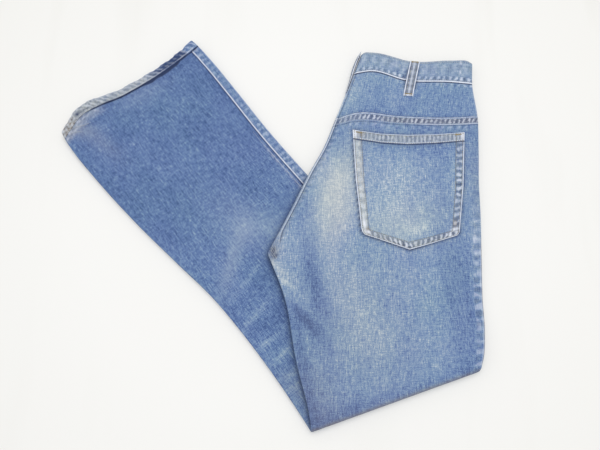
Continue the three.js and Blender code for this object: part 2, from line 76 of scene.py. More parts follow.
SEAM_GAP = 0.3
LIP = SEAM_GAP / 2
DENIM_ROOM = 1.2
BAND_WALL = 2.1
HEM_WALL = 2.2
HEM_SLIT = 0.4
FELL_WIDTH = 12
FELL_RISE = 0.6
OUTSEAM_BAND = 13
EDGE_ZONE = 18


def fold_point(along, beyond):
    return tuple(FOLD_POINT + along * ALONG_FOLD + beyond * BEYOND_FOLD)


# Cross sections from the waist to the hem: name, inner end, outer end, how far the line
# bows towards the waist at 15, 45 and 80 percent of the way across, and the height of
# both legs on each other
SECTIONS = (
    ("band_top", (133.5, 254.5), (297.5, 238.5), (0.5, -9, -2), 9.3),
    ("waist_seam", (121, 217), (294.5, 200), (7, -3.5, 0), 7.5),
    ("yoke_seam", (92.8, 143.5), (298, 148), (9, 2.5, -1.3), 7),
    ("seat_high", (75, 97.5), (295.3, 100), (4, 2, 0), 6.8),
    ("seat_middle", (54.5, 57), (291, 46), (0, 0, 0), 6.6),
    ("seat_low", (31.5, 7.8), (288.7, -8), (0, 0, 0), 6.4),
    ("crotch", (-0.5, -57), (285, -62), (0, 0, 0), STACK),
    ("thigh", (22, -115), (282, -112), (0, 0, 0), STACK),
    ("thigh_low", (37, -195), (279.5, -162), (0, 0, 0), STACK),
    ("fold_start", fold_point(-116, 0), fold_point(112, 0), (0, 0, 0), STACK),
    ("fold_end", fold_point(-119, FOLD_LENGTH), fold_point(100, FOLD_LENGTH), (0, 0, 0), STACK),
    ("knee_high", (60, -350), (269.5, -318), (0, 0, 0), STACK),
    ("knee", (60.4, -430), (266.5, -425), (0, 0, 0), STACK),
    ("knee_low", (57, -490.6), (264.3, -490), (0, 0, 0), STACK),
    ("flare_start", (46.1, -560.5), (262, -558), (0, 0, 0), STACK),
    ("flare_high", (34.5, -637), (260.2, -637), (0, 0, 0), STACK),
    ("flare_low", (25, -730), (262, -730), (-1, 0, 0), 6.5),
    ("above_hem", (22.3, -785), (262.3, -785), (-8, -2, 1), 7.6),
    ("hem_seam", (23, -806), (260.6, -816.5), (-14.5, -2, 3.5), 8.7),
    ("hem_edge", (25, -819), (258.6, -829.8), (-17, -2.5, 4), 9.9),
)
RISE_AT = np.array([0, 0.15, 0.45, 0.8, 1])
ROW = {section[0]: index for index, section in enumerate(SECTIONS)}
LAST_ROW = len(SECTIONS) - 1
ROW_NUMBERS = np.arange(len(SECTIONS))
INNER = np.array([section[1] for section in SECTIONS], float)
OUTER = np.array([section[2] for section in SECTIONS], float)
RISES = np.array([section[3] for section in SECTIONS], float)
STACKS = np.array([section[4] for section in SECTIONS], float)

# Soft ridges and hollows: place, heading in degrees, length, width and height
FOLDS = (
    ("seat_to_thigh", 150, -110, -38, 95, 20, 0.9),
    ("under_pocket", 225, -95, -60, 70, 18, 0.7),
    ("crotch_drag", 55, -70, -25, 60, 15, 0.8),
    ("knee_drag", 105, -500, 25, 60, 14, 0.9),
    ("shin_buckle", 120, -620, 70, 90, 20, 0.8),
    ("flare_buckle", 190, -735, 80, 80, 24, 1.1),
)
CREASES = (
    ("inseam_notch", 66, -524, 62, 16, 3.5, -0.9),
    ("inseam_ridge", 74, -528, 60, 20, 5, 0.5),
    ("behind_knee_high", 110, -505, -18, 38, 4, -0.35),
    ("behind_knee_low", 128, -535, -12, 42, 5, 0.35),
    ("shin_line", 96, -590, 78, 46, 5, -0.3),
    ("flare_line", 150, -690, 84, 70, 7, -0.3),
    ("flare_side", 225, -680, 95, 60, 8, 0.35),
    ("crotch_pull_high", 26, -52, 20, 22, 3, -0.45),
    ("crotch_pull_low", 34, -84, -12, 26, 4, 0.4),
    ("seat_line", 88, 20, 62, 50, 8, -0.35),
    ("seat_side", 62, 44, 66, 40, 6, 0.3),
    ("thigh_line", 118, -170, 35, 55, 8, 0.3),
    ("thigh_side", 238, -175, 70, 50, 9, -0.3),
)

# How washed out the denim is along the leg, from 0, dark indigo, to 1, nearly white
WASH = (
    ("hem", -830, 0.2),
    ("flare", -700, 0.22),
    ("shin", -600, 0.24),
    ("below_knee", -530, 0.3),
    ("knee", -430, 0.3),
    ("above_knee", -330, 0.38),
    ("fold", -240, 0.47),
    ("thigh", -150, 0.53),
    ("crotch", -60, 0.57),
    ("seat", 40, 0.54),
    ("yoke", 160, 0.41),
    ("waist", 240, 0.58),
)

# Rubbed and soiled places, and the painted shade of a dip in the thigh and of the fold's underside: x, y, heading,
# length, width, change of wash, cream, soil
FADES = (
    ("seat_patch", 92, 38, 70, 60, 23, 0.31, 0.62, 0.03),
    ("seat_patch_low", 98, -8, 60, 40, 16, 0.1, 0.35, 0),
    ("seat_side", 62, 62, 62, 34, 12, 0.05, 0.1, 0),
    ("thigh_rub", 98, -125, -70, 80, 38, 0.08, 0.05, 0),
    ("thigh_rub_low", 128, -170, -60, 60, 40, 0.07, 0.02, 0),
    ("crotch_rub", 14, -78, -40, 22, 6, 0.22, 0.2, 0),
    ("crotch_streak", 24, -96, -38, 12, 3, 0.28, 0.1, 0),
    # Painted shadow of a dip in the cloth on the thigh
    ("thigh_fold_shadow", 47, -142, -48, 26, 7.5, -0.42, 0, 0.04),
    ("thigh_fold_shadow_low", 66, -168, -52, 28, 11, -0.18, 0, 0),
    ("thigh_grey", 110, -170, -80, 120, 90, 0, 0, 0.1),
    ("thigh_streak", 57, -68, -82, 66, 12, -0.3, 0, 0),
    ("thigh_streak_low", 72, -124, -66, 44, 14, -0.24, 0, 0),
    ("seat_low_blue", 54, 4, 62, 26, 12, -0.14, 0, 0),
    ("seat_edge_blue", 16, 8, 68, 60, 11, -0.14, 0, 0),
    ("crotch_pale", 20, -40, 80, 20, 7, 0.08, 0.05, 0),
    ("low_left", 62, -245, -70, 50, 26, -0.05, 0, 0.15),
    ("side_blue", 250, -100, -88, 120, 24, -0.2, 0, 0.04),
    ("side_violet", 287, 40, 88, 70, 10, -0.03, 0, 0.12),
    ("fold_blue", 90, -262, 19, 60, 12, -0.1, 0, 0.05),
    # Painted shade on the underside of the fold
    ("fold_underside_shade", 190, -240, 19, 80, 7, -0.05, 0.1, 0.16),
    ("inseam_blue", 44, -185, -80, 60, 10, -0.12, 0, 0),
    ("under_pocket_blue", 205, -68, 0, 70, 9, -0.07, 0, 0),
    ("knee_wide", 105, -515, -37, 50, 11, 0.12, 0.14, 0.02),
    ("knee_line_a", 99, -481, -16, 30, 3.4, 0.16, 0.05, 0),
    ("knee_line_b", 88, -439, -12, 28, 4, 0.18, 0.08, 0),
    ("knee_line_c", 80, -402, 2, 18, 3.2, 0.26, 0.05, 0),
    ("knee_line_d", 86, -378, -9, 18, 3, 0.24, 0.05, 0),
    ("knee_line_e", 76, -352, 17, 13, 3, 0.2, 0.1, 0),
    ("knee_line_f", 68, -337, 20, 12, 3, 0.16, 0.1, 0),
    ("knee_deep_a", 126, -474, -20, 26, 9, -0.12, 0, 0),
    ("knee_deep_b", 122, -424, -20, 30, 12, -0.14, 0, 0),
    ("knee_deep_c", 78, -421, 0, 18, 7, -0.1, 0, 0),
    ("knee_deep_d", 90, -390, 0, 22, 5, -0.1, 0, 0),
    ("knee_deep_e", 84, -364, 6, 20, 5, -0.12, 0, 0),
    ("knee_edge_deep", 66, -457, 85, 18, 5, -0.1, 0, 0),
    ("low_tip_grey", 74, -330, 80, 34, 18, -0.04, 0, 0.12),
    ("under_seat_rub", 155, -535, 40, 50, 26, 0.12, 0.1, 0),
    ("knee_blue", 96, -465, 70, 60, 30, -0.03, 0, 0),
    ("hem_rub", 150, -800, 5, 40, 16, 0.1, 0.1, 0),
    ("hem_corner", 44, -808, 40, 26, 12, 0.08, 0.2, 0.1),
    ("flare_rub", 132, -701, 80, 60, 40, 0.04, 0, 0),
    ("flare_grey", 62, -770, 75, 36, 12, 0.02, 0.1, 0.05),
    ("fleck", 95, -741, 30, 2.6, 1.6, 0.6, 0.1, 0),
    ("lower_pale", 150, -580, 60, 50, 22, 0.06, 0.05, 0),
    ("yoke_rub", 107, 172, 60, 40, 22, 0.21, 0.05, 0),
)

POCKET_TOP = ((117.5, 127), (157, 120.5), (195.7, 118.6), (236, 119.6), (276.8, 122.8))
POCKET_LEFT = ((117.5, 127), (119.8, 50), (124.4, -20), (125.6, -27), (129, -31.5))
POCKET_RIGHT = ((276.8, 122.8), (268.5, 40), (259.2, -19), (258, -26), (254.5, -30.5))
POCKET_BOTTOM = ((129, -31.5), (188.6, -51.6), (254.5, -30.5))
POCKET_BAND = 11

# Places of the pocket: rubbed, bleached at the corners, and stained
POCKET_RUBS = (
    ("rubbed_middle", 170, 22, 75, 62, 34, 0.14),
    ("rubbed_low", 185, -20, 10, 44, 15, -0.03),
    ("cloud", 200, -22, 10, 14, 6, 0.22),
    ("cloud_edge", 211, -18, 78, 7, 2.4, 0.3),
    ("top_blue", 205, 98, 0, 80, 16, -0.12),
    ("right_blue", 240, 50, 85, 70, 16, -0.1),
    ("left_blue", 130, 60, 85, 50, 8, -0.06),
    ("cloud_right", 226, -28, 10, 12, 7, -0.14),
)
POCKET_CORNERS = (
    ("top_left", 121, 121, 85, 8, 3, 0.9),
    ("top_right", 273, 118, 80, 7, 2.6, 0.8),
    ("low_left", 129, -16, 95, 8, 1.9, 0.9),
    ("low_left_tip", 133, -28, -20, 4, 2.4, 0.7),
    ("low_right", 251, -22, 20, 5, 2.4, 0.7),
    ("low_right_tip", 246, -31, -30, 5, 2, 0.5),
)
POCKET_STAINS = (
    ("top_left", 129, 120, 0, 5, 4, 0.5),
    ("low_left", 133, -24, 0, 4, 3, 0.6),
    ("low_right", 253, -14, 80, 5, 3, 0.8),
)
BAND_TACKS = (("upper", 280, 234, 88, 3, 1, 0.9), ("lower", 278, 219, 88, 3, 1, 0.9))
HEM_SPOTS = (("navy", 58, -829, 35, 5, 3, 1), ("navy_side", 70, -829, 20, 6, 2.5, 0.7))

SIDE_SQUARES = (
    ("top", 277, -35, 88, 5, 4, 0.45),
    ("second", 278, -56, 88, 3, 3, 0.25),
    ("low", 273, -152, 88, 4, 3, 0.25),
)

# The hole rubbed through at the crotch
WEAR_HOLE = (("hole", 6.5, -55, 78, 7, 2.6, 0.75), ("side", 10, -61, 40, 4, 2, 0.9), ("rim", 3, -52, 80, 5, 1.4, 0.5))

# Loose threads: side, radius, and x, y and height of each along its run
LOOSE_THREADS = (
    ("right", 0.22, ((3.5, -49, 0.1), (6.5, -52, 0.5), (8.5, -57, 0.4), (10.5, -63, 0.1))),
    ("right", 0.2, ((2.5, -53, 0.2), (6, -56, 0.5), (9, -61, 0.3), (12, -66, 0.1))),
    ("right", 0.18, ((5, -47, 0.1), (9.5, -52, 0.6), (11, -58, 0.3))),
    ("right", 0.18, ((3, -58, 0.2), (6, -60, 0.6), (8, -65, 0.2))),
    ("left", 0.24, ((34, -813, 0.3), (44, -812, 0.7), (55, -808, 0.4), (66, -806, 0.1))),
    ("left", 0.2, ((31, -808, 0.2), (40, -806, 0.6), (49, -801, 0.2))),
)

LOOP_WIDTH = 14
LOOP_SHARE = 0.483
LOOP_ARCH = 1.4
LOOP_STATIONS = (
    (0.02, 0, 0.3),
    (0.3, 0.7, 2.6),
    (0.65, 1, 3.6),
    (0.98, 0.4, 3),
    (1.2, 0.1, 1.2),
    (1.42, 0, 0.3),
)

FRONT_INSET = 25
FRONT_EASE = 0.6
FRONT_START = 2


def smooth(value):
    share = np.clip(value, 0, 1)
    return share * share * (3 - 2 * share)


def lerp(first, last, share):
    return first + (last - first) * share


def curve(knots, values, at):
    """A smooth curve through values at uneven knots."""
    knots = np.asarray(knots, float)
    values = np.asarray(values, float)
    spans = np.diff(knots)
    slopes = np.diff(values) / spans
    tangents = np.empty(len(knots))
    tangents[0] = slopes[0]
    tangents[-1] = slopes[-1]
    tangents[1:-1] = (slopes[1:] * spans[:-1] + slopes[:-1] * spans[1:]) / (spans[1:] + spans[:-1])
    i = np.clip(np.searchsorted(knots, at) - 1, 0, len(knots) - 2)
    s = (at - knots[i]) / spans[i]
    bend = (2 * s - 3) * s * s
    straight = values[i] * (1 + bend) - values[i + 1] * bend
    return straight + spans[i] * s * (1 - s) * ((1 - s) * tangents[i] - s * tangents[i + 1])


def run_lengths(points):
    steps = np.linalg.norm(np.diff(points, axis=0), axis=1)
    return np.concatenate([[0], np.cumsum(steps)])


def edge_at(points, at, breaks=()):
    """Points of a leg's edge at section positions, with a corner at each break."""
    at = np.asarray(at, float)
    found = np.zeros(at.shape + (2,))
    ends = [0, *breaks, LAST_ROW]
    for first, last in zip(ends, ends[1:]):
        part = points[first:last + 1]
        knots = run_lengths(part)
        local = np.clip(at - first, 0, last - first)
        i = np.minimum(local.astype(int), last - first - 1)
        knot = lerp(knots[i], knots[i + 1], local - i)
        chosen = (at > first) | (first == 0)
        for axis in range(2):
            value = curve(knots, part[:, axis], knot)
            found[..., axis] = np.where(chosen, value, found[..., axis])
    return found


def inner_edge(at):
    return edge_at(INNER, at, (ROW["crotch"],))


def outer_edge(at):
    return edge_at(OUTER, at)


def width_at(at):
    return np.linalg.norm(outer_edge(at) - inner_edge(at), axis=-1)


def stack_at(at):
    return np.interp(at, ROW_NUMBERS, STACKS)


def seat_share(at):
    return smooth((ROW["crotch"] - at) * 3)


def rise_at(at, share):
    """How far the cross line bows towards the waist."""
    share = np.clip(share, 0, 1)
    total = 0
    for k in range(3):
        basis = np.zeros(len(RISE_AT))
        basis[k + 1] = 1
        total = total + np.interp(at, ROW_NUMBERS, RISES[:, k]) * curve(RISE_AT, basis, share)
    return total


def plan_point(at, inset):
    """Plan points a distance in from the inner end of each cross line."""
    inner = inner_edge(at)
    outer = outer_edge(at)
    share = inset / np.linalg.norm(outer - inner, axis=-1)
    x = lerp(inner[..., 0], outer[..., 0], share)
    y = lerp(inner[..., 1], outer[..., 1], share) + rise_at(at, share)
    return x, y


def section_position(x, y):
    """The section position and the inset of plan points, found by halving."""
    low = np.zeros_like(x)
    high = np.full_like(x, LAST_ROW)
    for _ in range(22):
        middle = (low + high) / 2
        inner = inner_edge(middle)
        outer = outer_edge(middle)
        share = (x - inner[..., 0]) / (outer[..., 0] - inner[..., 0])
        line = lerp(inner[..., 1], outer[..., 1], share) + rise_at(middle, share)
        low = np.where(line > y, middle, low)
        high = np.where(line > y, high, middle)
    return middle, share * np.linalg.norm(outer - inner, axis=-1)


def shifted(row, distance):
    """A section position moved along the leg by a few millimetres."""
    index = ROW[row]
    other = index + (1 if distance > 0 else -1)
    inner_step = np.linalg.norm(INNER[other] - INNER[index])
    outer_step = np.linalg.norm(OUTER[other] - OUTER[index])
    return index + distance / min(inner_step, outer_step)


def ridges(table, x, y):
    total = np.zeros_like(x)
    for _, at_x, at_y, heading, length, width, height in table:
        turn = math.radians(heading)
        dx = x - at_x
        dy = y - at_y
        along = (dx * math.cos(turn) + dy * math.sin(turn)) / length
        across = (dy * math.cos(turn) - dx * math.sin(turn)) / width
        total = total + height * np.exp(-along * along - across * across)
    return total


def uneven(x, y, size, seed):
    """Gentle unevenness from -1 to 1, with hollows about size apart."""
    total = 0
    for k in range(4):
        turn = 2.4 * k + seed
        wave = (x * math.cos(turn) + y * math.sin(turn)) * (1 + 0.23 * k) * 2 * math.pi / size
        total = total + np.sin(wave + 1.7 * seed * k + 0.8 * np.sin(wave * 0.37 + seed))
    return total / 4


def beyond_fold(x, y):
    return (x - FOLD_POINT[0]) * BEYOND_FOLD[0] + (y - FOLD_POINT[1]) * BEYOND_FOLD[1]


def fold_clearance(x, y):
    return smooth(np.abs(beyond_fold(x, y) - FOLD_LENGTH / 2) / FOLD_CLEAR - 0.5)


def stack_relief(x, y):
    """Swells and creases that lift both legs, none of them near the fold."""
    settings = bpy.context.scene.jeans_cloth
    hidden = smooth((y + 545) / 60) * (beyond_fold(x, y) > 0)
    small = ridges(CREASES, x, y)
    small = small + 0.16 * uneven(x, y, 74, 1.3) + 0.09 * uneven(x, y, 31, 2.9)
    broad = ridges(FOLDS, x, y)
    return (broad + settings.crease * small * (1 - hidden)) * fold_clearance(x, y)


def rest_height(x, y):
    start, end = LOWER_OUTSEAM
    direction = (end - start) / np.linalg.norm(end - start)
    past = (x - start[0]) * direction[1] - (y - start[1]) * direction[0]
    on_leg = 1 - smooth((past - SHOULDER) / SLOPE)
    seat_lift = BAND_LIFT * smooth((y + 115) / 55) + 0.9 * smooth((y - 150) / 45)
    return (STACK + 2 * FOLD_RADIUS) * on_leg + seat_lift


def fold_into_place(x, y, height, stack):
    """Carries plan points of the unfolded garment, at heights from the left leg's outer
    face, round the fold and onto the surface."""
    x, y, height, stack = np.broadcast_arrays(x, y, height, stack)
    dx = x - FOLD_POINT[0]
    dy = y - FOLD_POINT[1]
    along = dx * ALONG_FOLD[0] + dy * ALONG_FOLD[1]
    beyond = beyond_fold(x, y)
    angle = np.clip(beyond, 0, FOLD_LENGTH) / FOLD_MIDDLE
    radius = FOLD_RADIUS + height
    past = np.where(beyond < 0, beyond, radius * np.sin(angle))
    past = np.where(beyond > FOLD_LENGTH, FOLD_LENGTH - beyond, past)
    z = FOLD_RADIUS + STACK + radius * np.cos(angle)
    z = np.where(beyond <= 0, rest_height(x, y) + height, z)
    z = np.where(beyond >= FOLD_LENGTH, stack - height, z)
    px = FOLD_POINT[0] + along * ALONG_FOLD[0] + past * BEYOND_FOLD[0]
    py = FOLD_POINT[1] + along * ALONG_FOLD[1] + past * BEYOND_FOLD[1]
    return np.stack([px, py, z], axis=-1)


def layer_point(side, at, inset, out, relief=True):
    """Points on a leg's back, a height out from its outer face."""
    x, y = plan_point(at, inset)
    stack = stack_at(at) + (stack_relief(x, y) if relief else 0)
    height = stack + out if side == "right" else -out
    return fold_into_place(x, y, height, stack)


def ripple(along, pitch, seed):
    """Uneven waves along a seam, from -1 to 1."""
    drift = 1.1 * np.sin(along / (pitch * 2.7) + seed) + 0.7 * np.sin(along / (pitch * 1.3) + 2.3 * seed)
    swell = 0.7 + 0.3 * np.sin(along / (pitch * 4.1) + 1.9 * seed)
    return swell * np.sin(2 * math.pi * along / pitch + drift)


def band(distance, low, high, soft=1.0):
    """1 between two distances, falling to 0 softly outside them."""
    return smooth((distance - low) / soft + 0.5) * smooth((high - distance) / soft + 0.5)


def line_distance(x, y, line):
    """Distance from points to a polyline, and how far along it the nearest point is."""
    line = np.asarray(line, float)
    nearest = np.full(np.shape(x), 1e9)
    run = np.zeros(np.shape(x))
    starts = run_lengths(line)
    for k in range(len(line) - 1):
        step = line[k + 1] - line[k]
        length = np.linalg.norm(step)
        share = ((x - line[k, 0]) * step[0] + (y - line[k, 1]) * step[1]) / length ** 2
        share = np.clip(share, 0, 1)
        gap = np.hypot(x - line[k, 0] - share * step[0], y - line[k, 1] - share * step[1])
        run = np.where(gap < nearest, starts[k] + share * length, run)
        nearest = np.minimum(gap, nearest)
    return nearest, run


def finish_of(x, y):
    """The finish of plain cloth at plan points: how washed out, bleached, creamy, shaded, soiled and puckered it is,
    with painted shade in its wash and soil at a few places, and the seam's run and width that its puckers follow."""
    places = np.array([row[1] for row in WASH], float)
    amounts = np.array([row[2] for row in WASH])
    wash = curve(places, amounts, np.clip(y, places[0], places[-1]))
    cream = np.zeros_like(wash)
    soil = np.zeros_like(wash)
    for _, at_x, at_y, heading, length, width, change, creamy, soiled_and_shaded in FADES:
        spot = ridges((("", at_x, at_y, heading, length, width, 1),), x, y)
        wash = wash + change * spot
        cream = cream + creamy * spot
        soil = soil + soiled_and_shaded * spot
    finish = {"wash": wash, "cream": cream, "soil": soil}
    for label in ("bleach", "shade", "pucker"):
        finish[label] = np.zeros_like(wash)
    finish["seam"] = np.zeros(wash.shape + (2,))
    return finish


def pucker(finish, strength, run, across, pitch):
    """Puckers beside a seam, where they are stronger than the ones already there."""
    strength, run, across = np.broadcast_arrays(strength, run, across)
    stronger = strength > finish["pucker"]
    finish["pucker"] = np.where(stronger, strength, finish["pucker"])
    finish["seam"][..., 0] = np.where(stronger, run * PUCKER_PITCH / pitch, finish["seam"][..., 0])
    finish["seam"][..., 1] = np.where(stronger, across, finish["seam"][..., 1])


def shell_faces(rows, columns, ring=False):
    """Quads of an outer and an inner grid and the rims that join them."""
    count = rows * columns
    i, j = np.meshgrid(np.arange(rows - 1), np.arange(columns if ring else columns - 1), indexing="ij")
    i = i.ravel()
    j = j.ravel()
    after = (j + 1) % columns
    outer = np.stack([i * columns + j, i * columns + after, (i + 1) * columns + after, (i + 1) * columns + j], 1)
    faces = [outer, outer[:, ::-1] + count]
    k = np.arange(columns if ring else columns - 1)
    after = (k + 1) % columns
    last = (rows - 1) * columns
    faces.append(np.stack([after, k, k + count, after + count], 1))
    faces.append(np.stack([last + k, last + after, last + after + count, last + k + count], 1))
    if not ring:
        k = np.arange(rows - 1) * columns
        after = k + columns
        end = columns - 1
        faces.append(np.stack([k, after, after + count, k + count], 1))
        faces.append(np.stack([after + end, k + end, k + end + count, after + end + count], 1))
    return np.concatenate(faces)


def cloth_piece(name, outer, inner, uv, finish, material, ring=False):
    """A closed shell of cloth from grids of points in millimetres."""
    rows, columns = outer.shape[:2]
    points = np.concatenate([outer.reshape(-1, 3), inner.reshape(-1, 3)])
    points[:, :2] -= PLAN_CENTRE
    faces = shell_faces(rows, columns, ring)
    a, b, c, d = (points[faces[:, k]] for k in range(4))
    volume = np.einsum("ij,ij->", a, np.cross(b, c)) + np.einsum("ij,ij->", a, np.cross(c, d))
    if volume < 0:
        faces = faces[:, ::-1]
    mesh = bpy.data.meshes.new(name)
    mesh.from_pydata((points * MM).tolist(), [], faces.tolist())
    finish_mesh(mesh, np.tile(uv.reshape(-1, 2), (2, 1)), finish, material, 2)
    piece = bpy.data.objects.new(name, mesh)
    bpy.context.scene.collection.objects.link(piece)
    return piece


def finish_mesh(mesh, uv, finish, material, repeats=1):
    corners = np.empty(len(mesh.loops), np.int32)
    mesh.loops.foreach_get("vertex_index", corners)
    maps = {"garment": uv, "seam": np.tile(finish["seam"].reshape(-1, 2), (repeats, 1))}
    for label, values in maps.items():
        layer = mesh.uv_layers.new(name=label)
        layer.data.foreach_set("uv", (values[corners] * MM).astype(np.float32).ravel())
    for label in FINISHES:
        attribute = mesh.attributes.new(label, "FLOAT", "POINT")
        amounts = np.tile(np.ravel(finish[label]), repeats)
        attribute.data.foreach_set("value", amounts.astype(np.float32))
    mesh.polygons.foreach_set("use_smooth", np.ones(len(mesh.polygons), bool))
    mesh.set_sharp_from_angle(angle=math.radians(58))
    mesh.materials.append(material)
    mesh.update()


def attach(piece, node):
    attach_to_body(piece, "root")
    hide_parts(node)


def rows_between(first, last, steps):
    """Section positions spaced by a step in millimetres that depends on the row."""
    probe = np.linspace(first, last, 2400)
    middle = (inner_edge(probe) + outer_edge(probe)) / 2
    lengths = np.linalg.norm(np.diff(middle, axis=0), axis=1)
    density = lengths / steps((probe[1:] + probe[:-1]) / 2)
    total = np.concatenate([[0], np.cumsum(density)])
    count = int(math.ceil(total[-1])) + 1
    return np.interp(np.linspace(0, total[-1], count), total, probe)


def step_table(*stops):
    """Row spacing that changes between named section positions."""
    places = [stop[0] for stop in stops]
    sizes = [stop[1] for stop in stops]
    return lambda at: np.interp(at, places, sizes)


NOSE_STEPS = 6
EDGE_STEPS = 24
PUCKER_PITCH = 8.4
FINISHES = ("wash", "bleach", "cream", "shade", "soil", "pucker")


def layer_columns(at, wall, middle_columns):
    """Insets and drops of a back layer's outer and inner faces: a rounded nose, a fine
    strip, even columns, a fine strip and a rounded nose."""
    stack = stack_at(at)
    leg = (stack - SEAM_GAP) / 2
    inner_nose = lerp(leg / 2, stack / 2, seat_share(at))[:, None]
    outer_nose = (leg / 2)[:, None]
    width = width_at(at)[:, None]
    turn = np.linspace(0, math.pi / 2, NOSE_STEPS + 1)[None, :]

    def nose(radius):
        sink = radius * (1 - np.sin(turn))
        sink[:, 0] -= LIP
        small = radius - wall
        inner_sink = radius - small * np.sin(turn)
        inner_sink[:, 0] -= LIP
        return radius * (1 - np.cos(turn)), sink, radius - small * np.cos(turn), inner_sink

    edge_share = (np.arange(1, EDGE_STEPS + 1) / EDGE_STEPS)[None, :]
    middle_share = (np.arange(1, middle_columns) / middle_columns)[None, :]
    left = nose(inner_nose)
    right = nose(outer_nose)
    near = lerp(inner_nose, EDGE_ZONE, edge_share)
    far = lerp(outer_nose, EDGE_ZONE, edge_share)
    middle = lerp(EDGE_ZONE, width - EDGE_ZONE, middle_share)
    flat = np.concatenate([near, middle, width - far[:, ::-1]], 1)
    level = np.zeros_like(flat)
    outer_inset = np.concatenate([left[0], flat, width - right[0][:, ::-1]], 1)
    outer_drop = np.concatenate([left[1], level, right[1][:, ::-1]], 1)
    inner_inset = np.concatenate([left[2], flat, width - right[2][:, ::-1]], 1)
    inner_drop = np.concatenate([left[3], level + wall, right[3][:, ::-1]], 1)
    return outer_inset, outer_drop, inner_inset, inner_drop, width


def on_top(side, at):
    """1 where a side's back is the visible one."""
    return at < ROW["fold_start"] + 0.5 if side == "right" else at > ROW["fold_start"] + 0.5


def pocket_outline():
    sides = [POCKET_LEFT[::-1], POCKET_TOP[1:], POCKET_RIGHT[1:], POCKET_BOTTOM[::-1][1:]]
    return np.array([point for part in sides for point in part], float)


def overlap_shade(x, y):
    """How close the lower leg's plan points lie to the edge of the cloth on top of them."""
    placed = fold_into_place(x, y, 0, STACK)
    edge = inner_edge(np.linspace(ROW["waist_seam"], ROW["fold_start"], 60))
    gap, _ = line_distance(placed[..., 0], placed[..., 1], edge)
    return gap


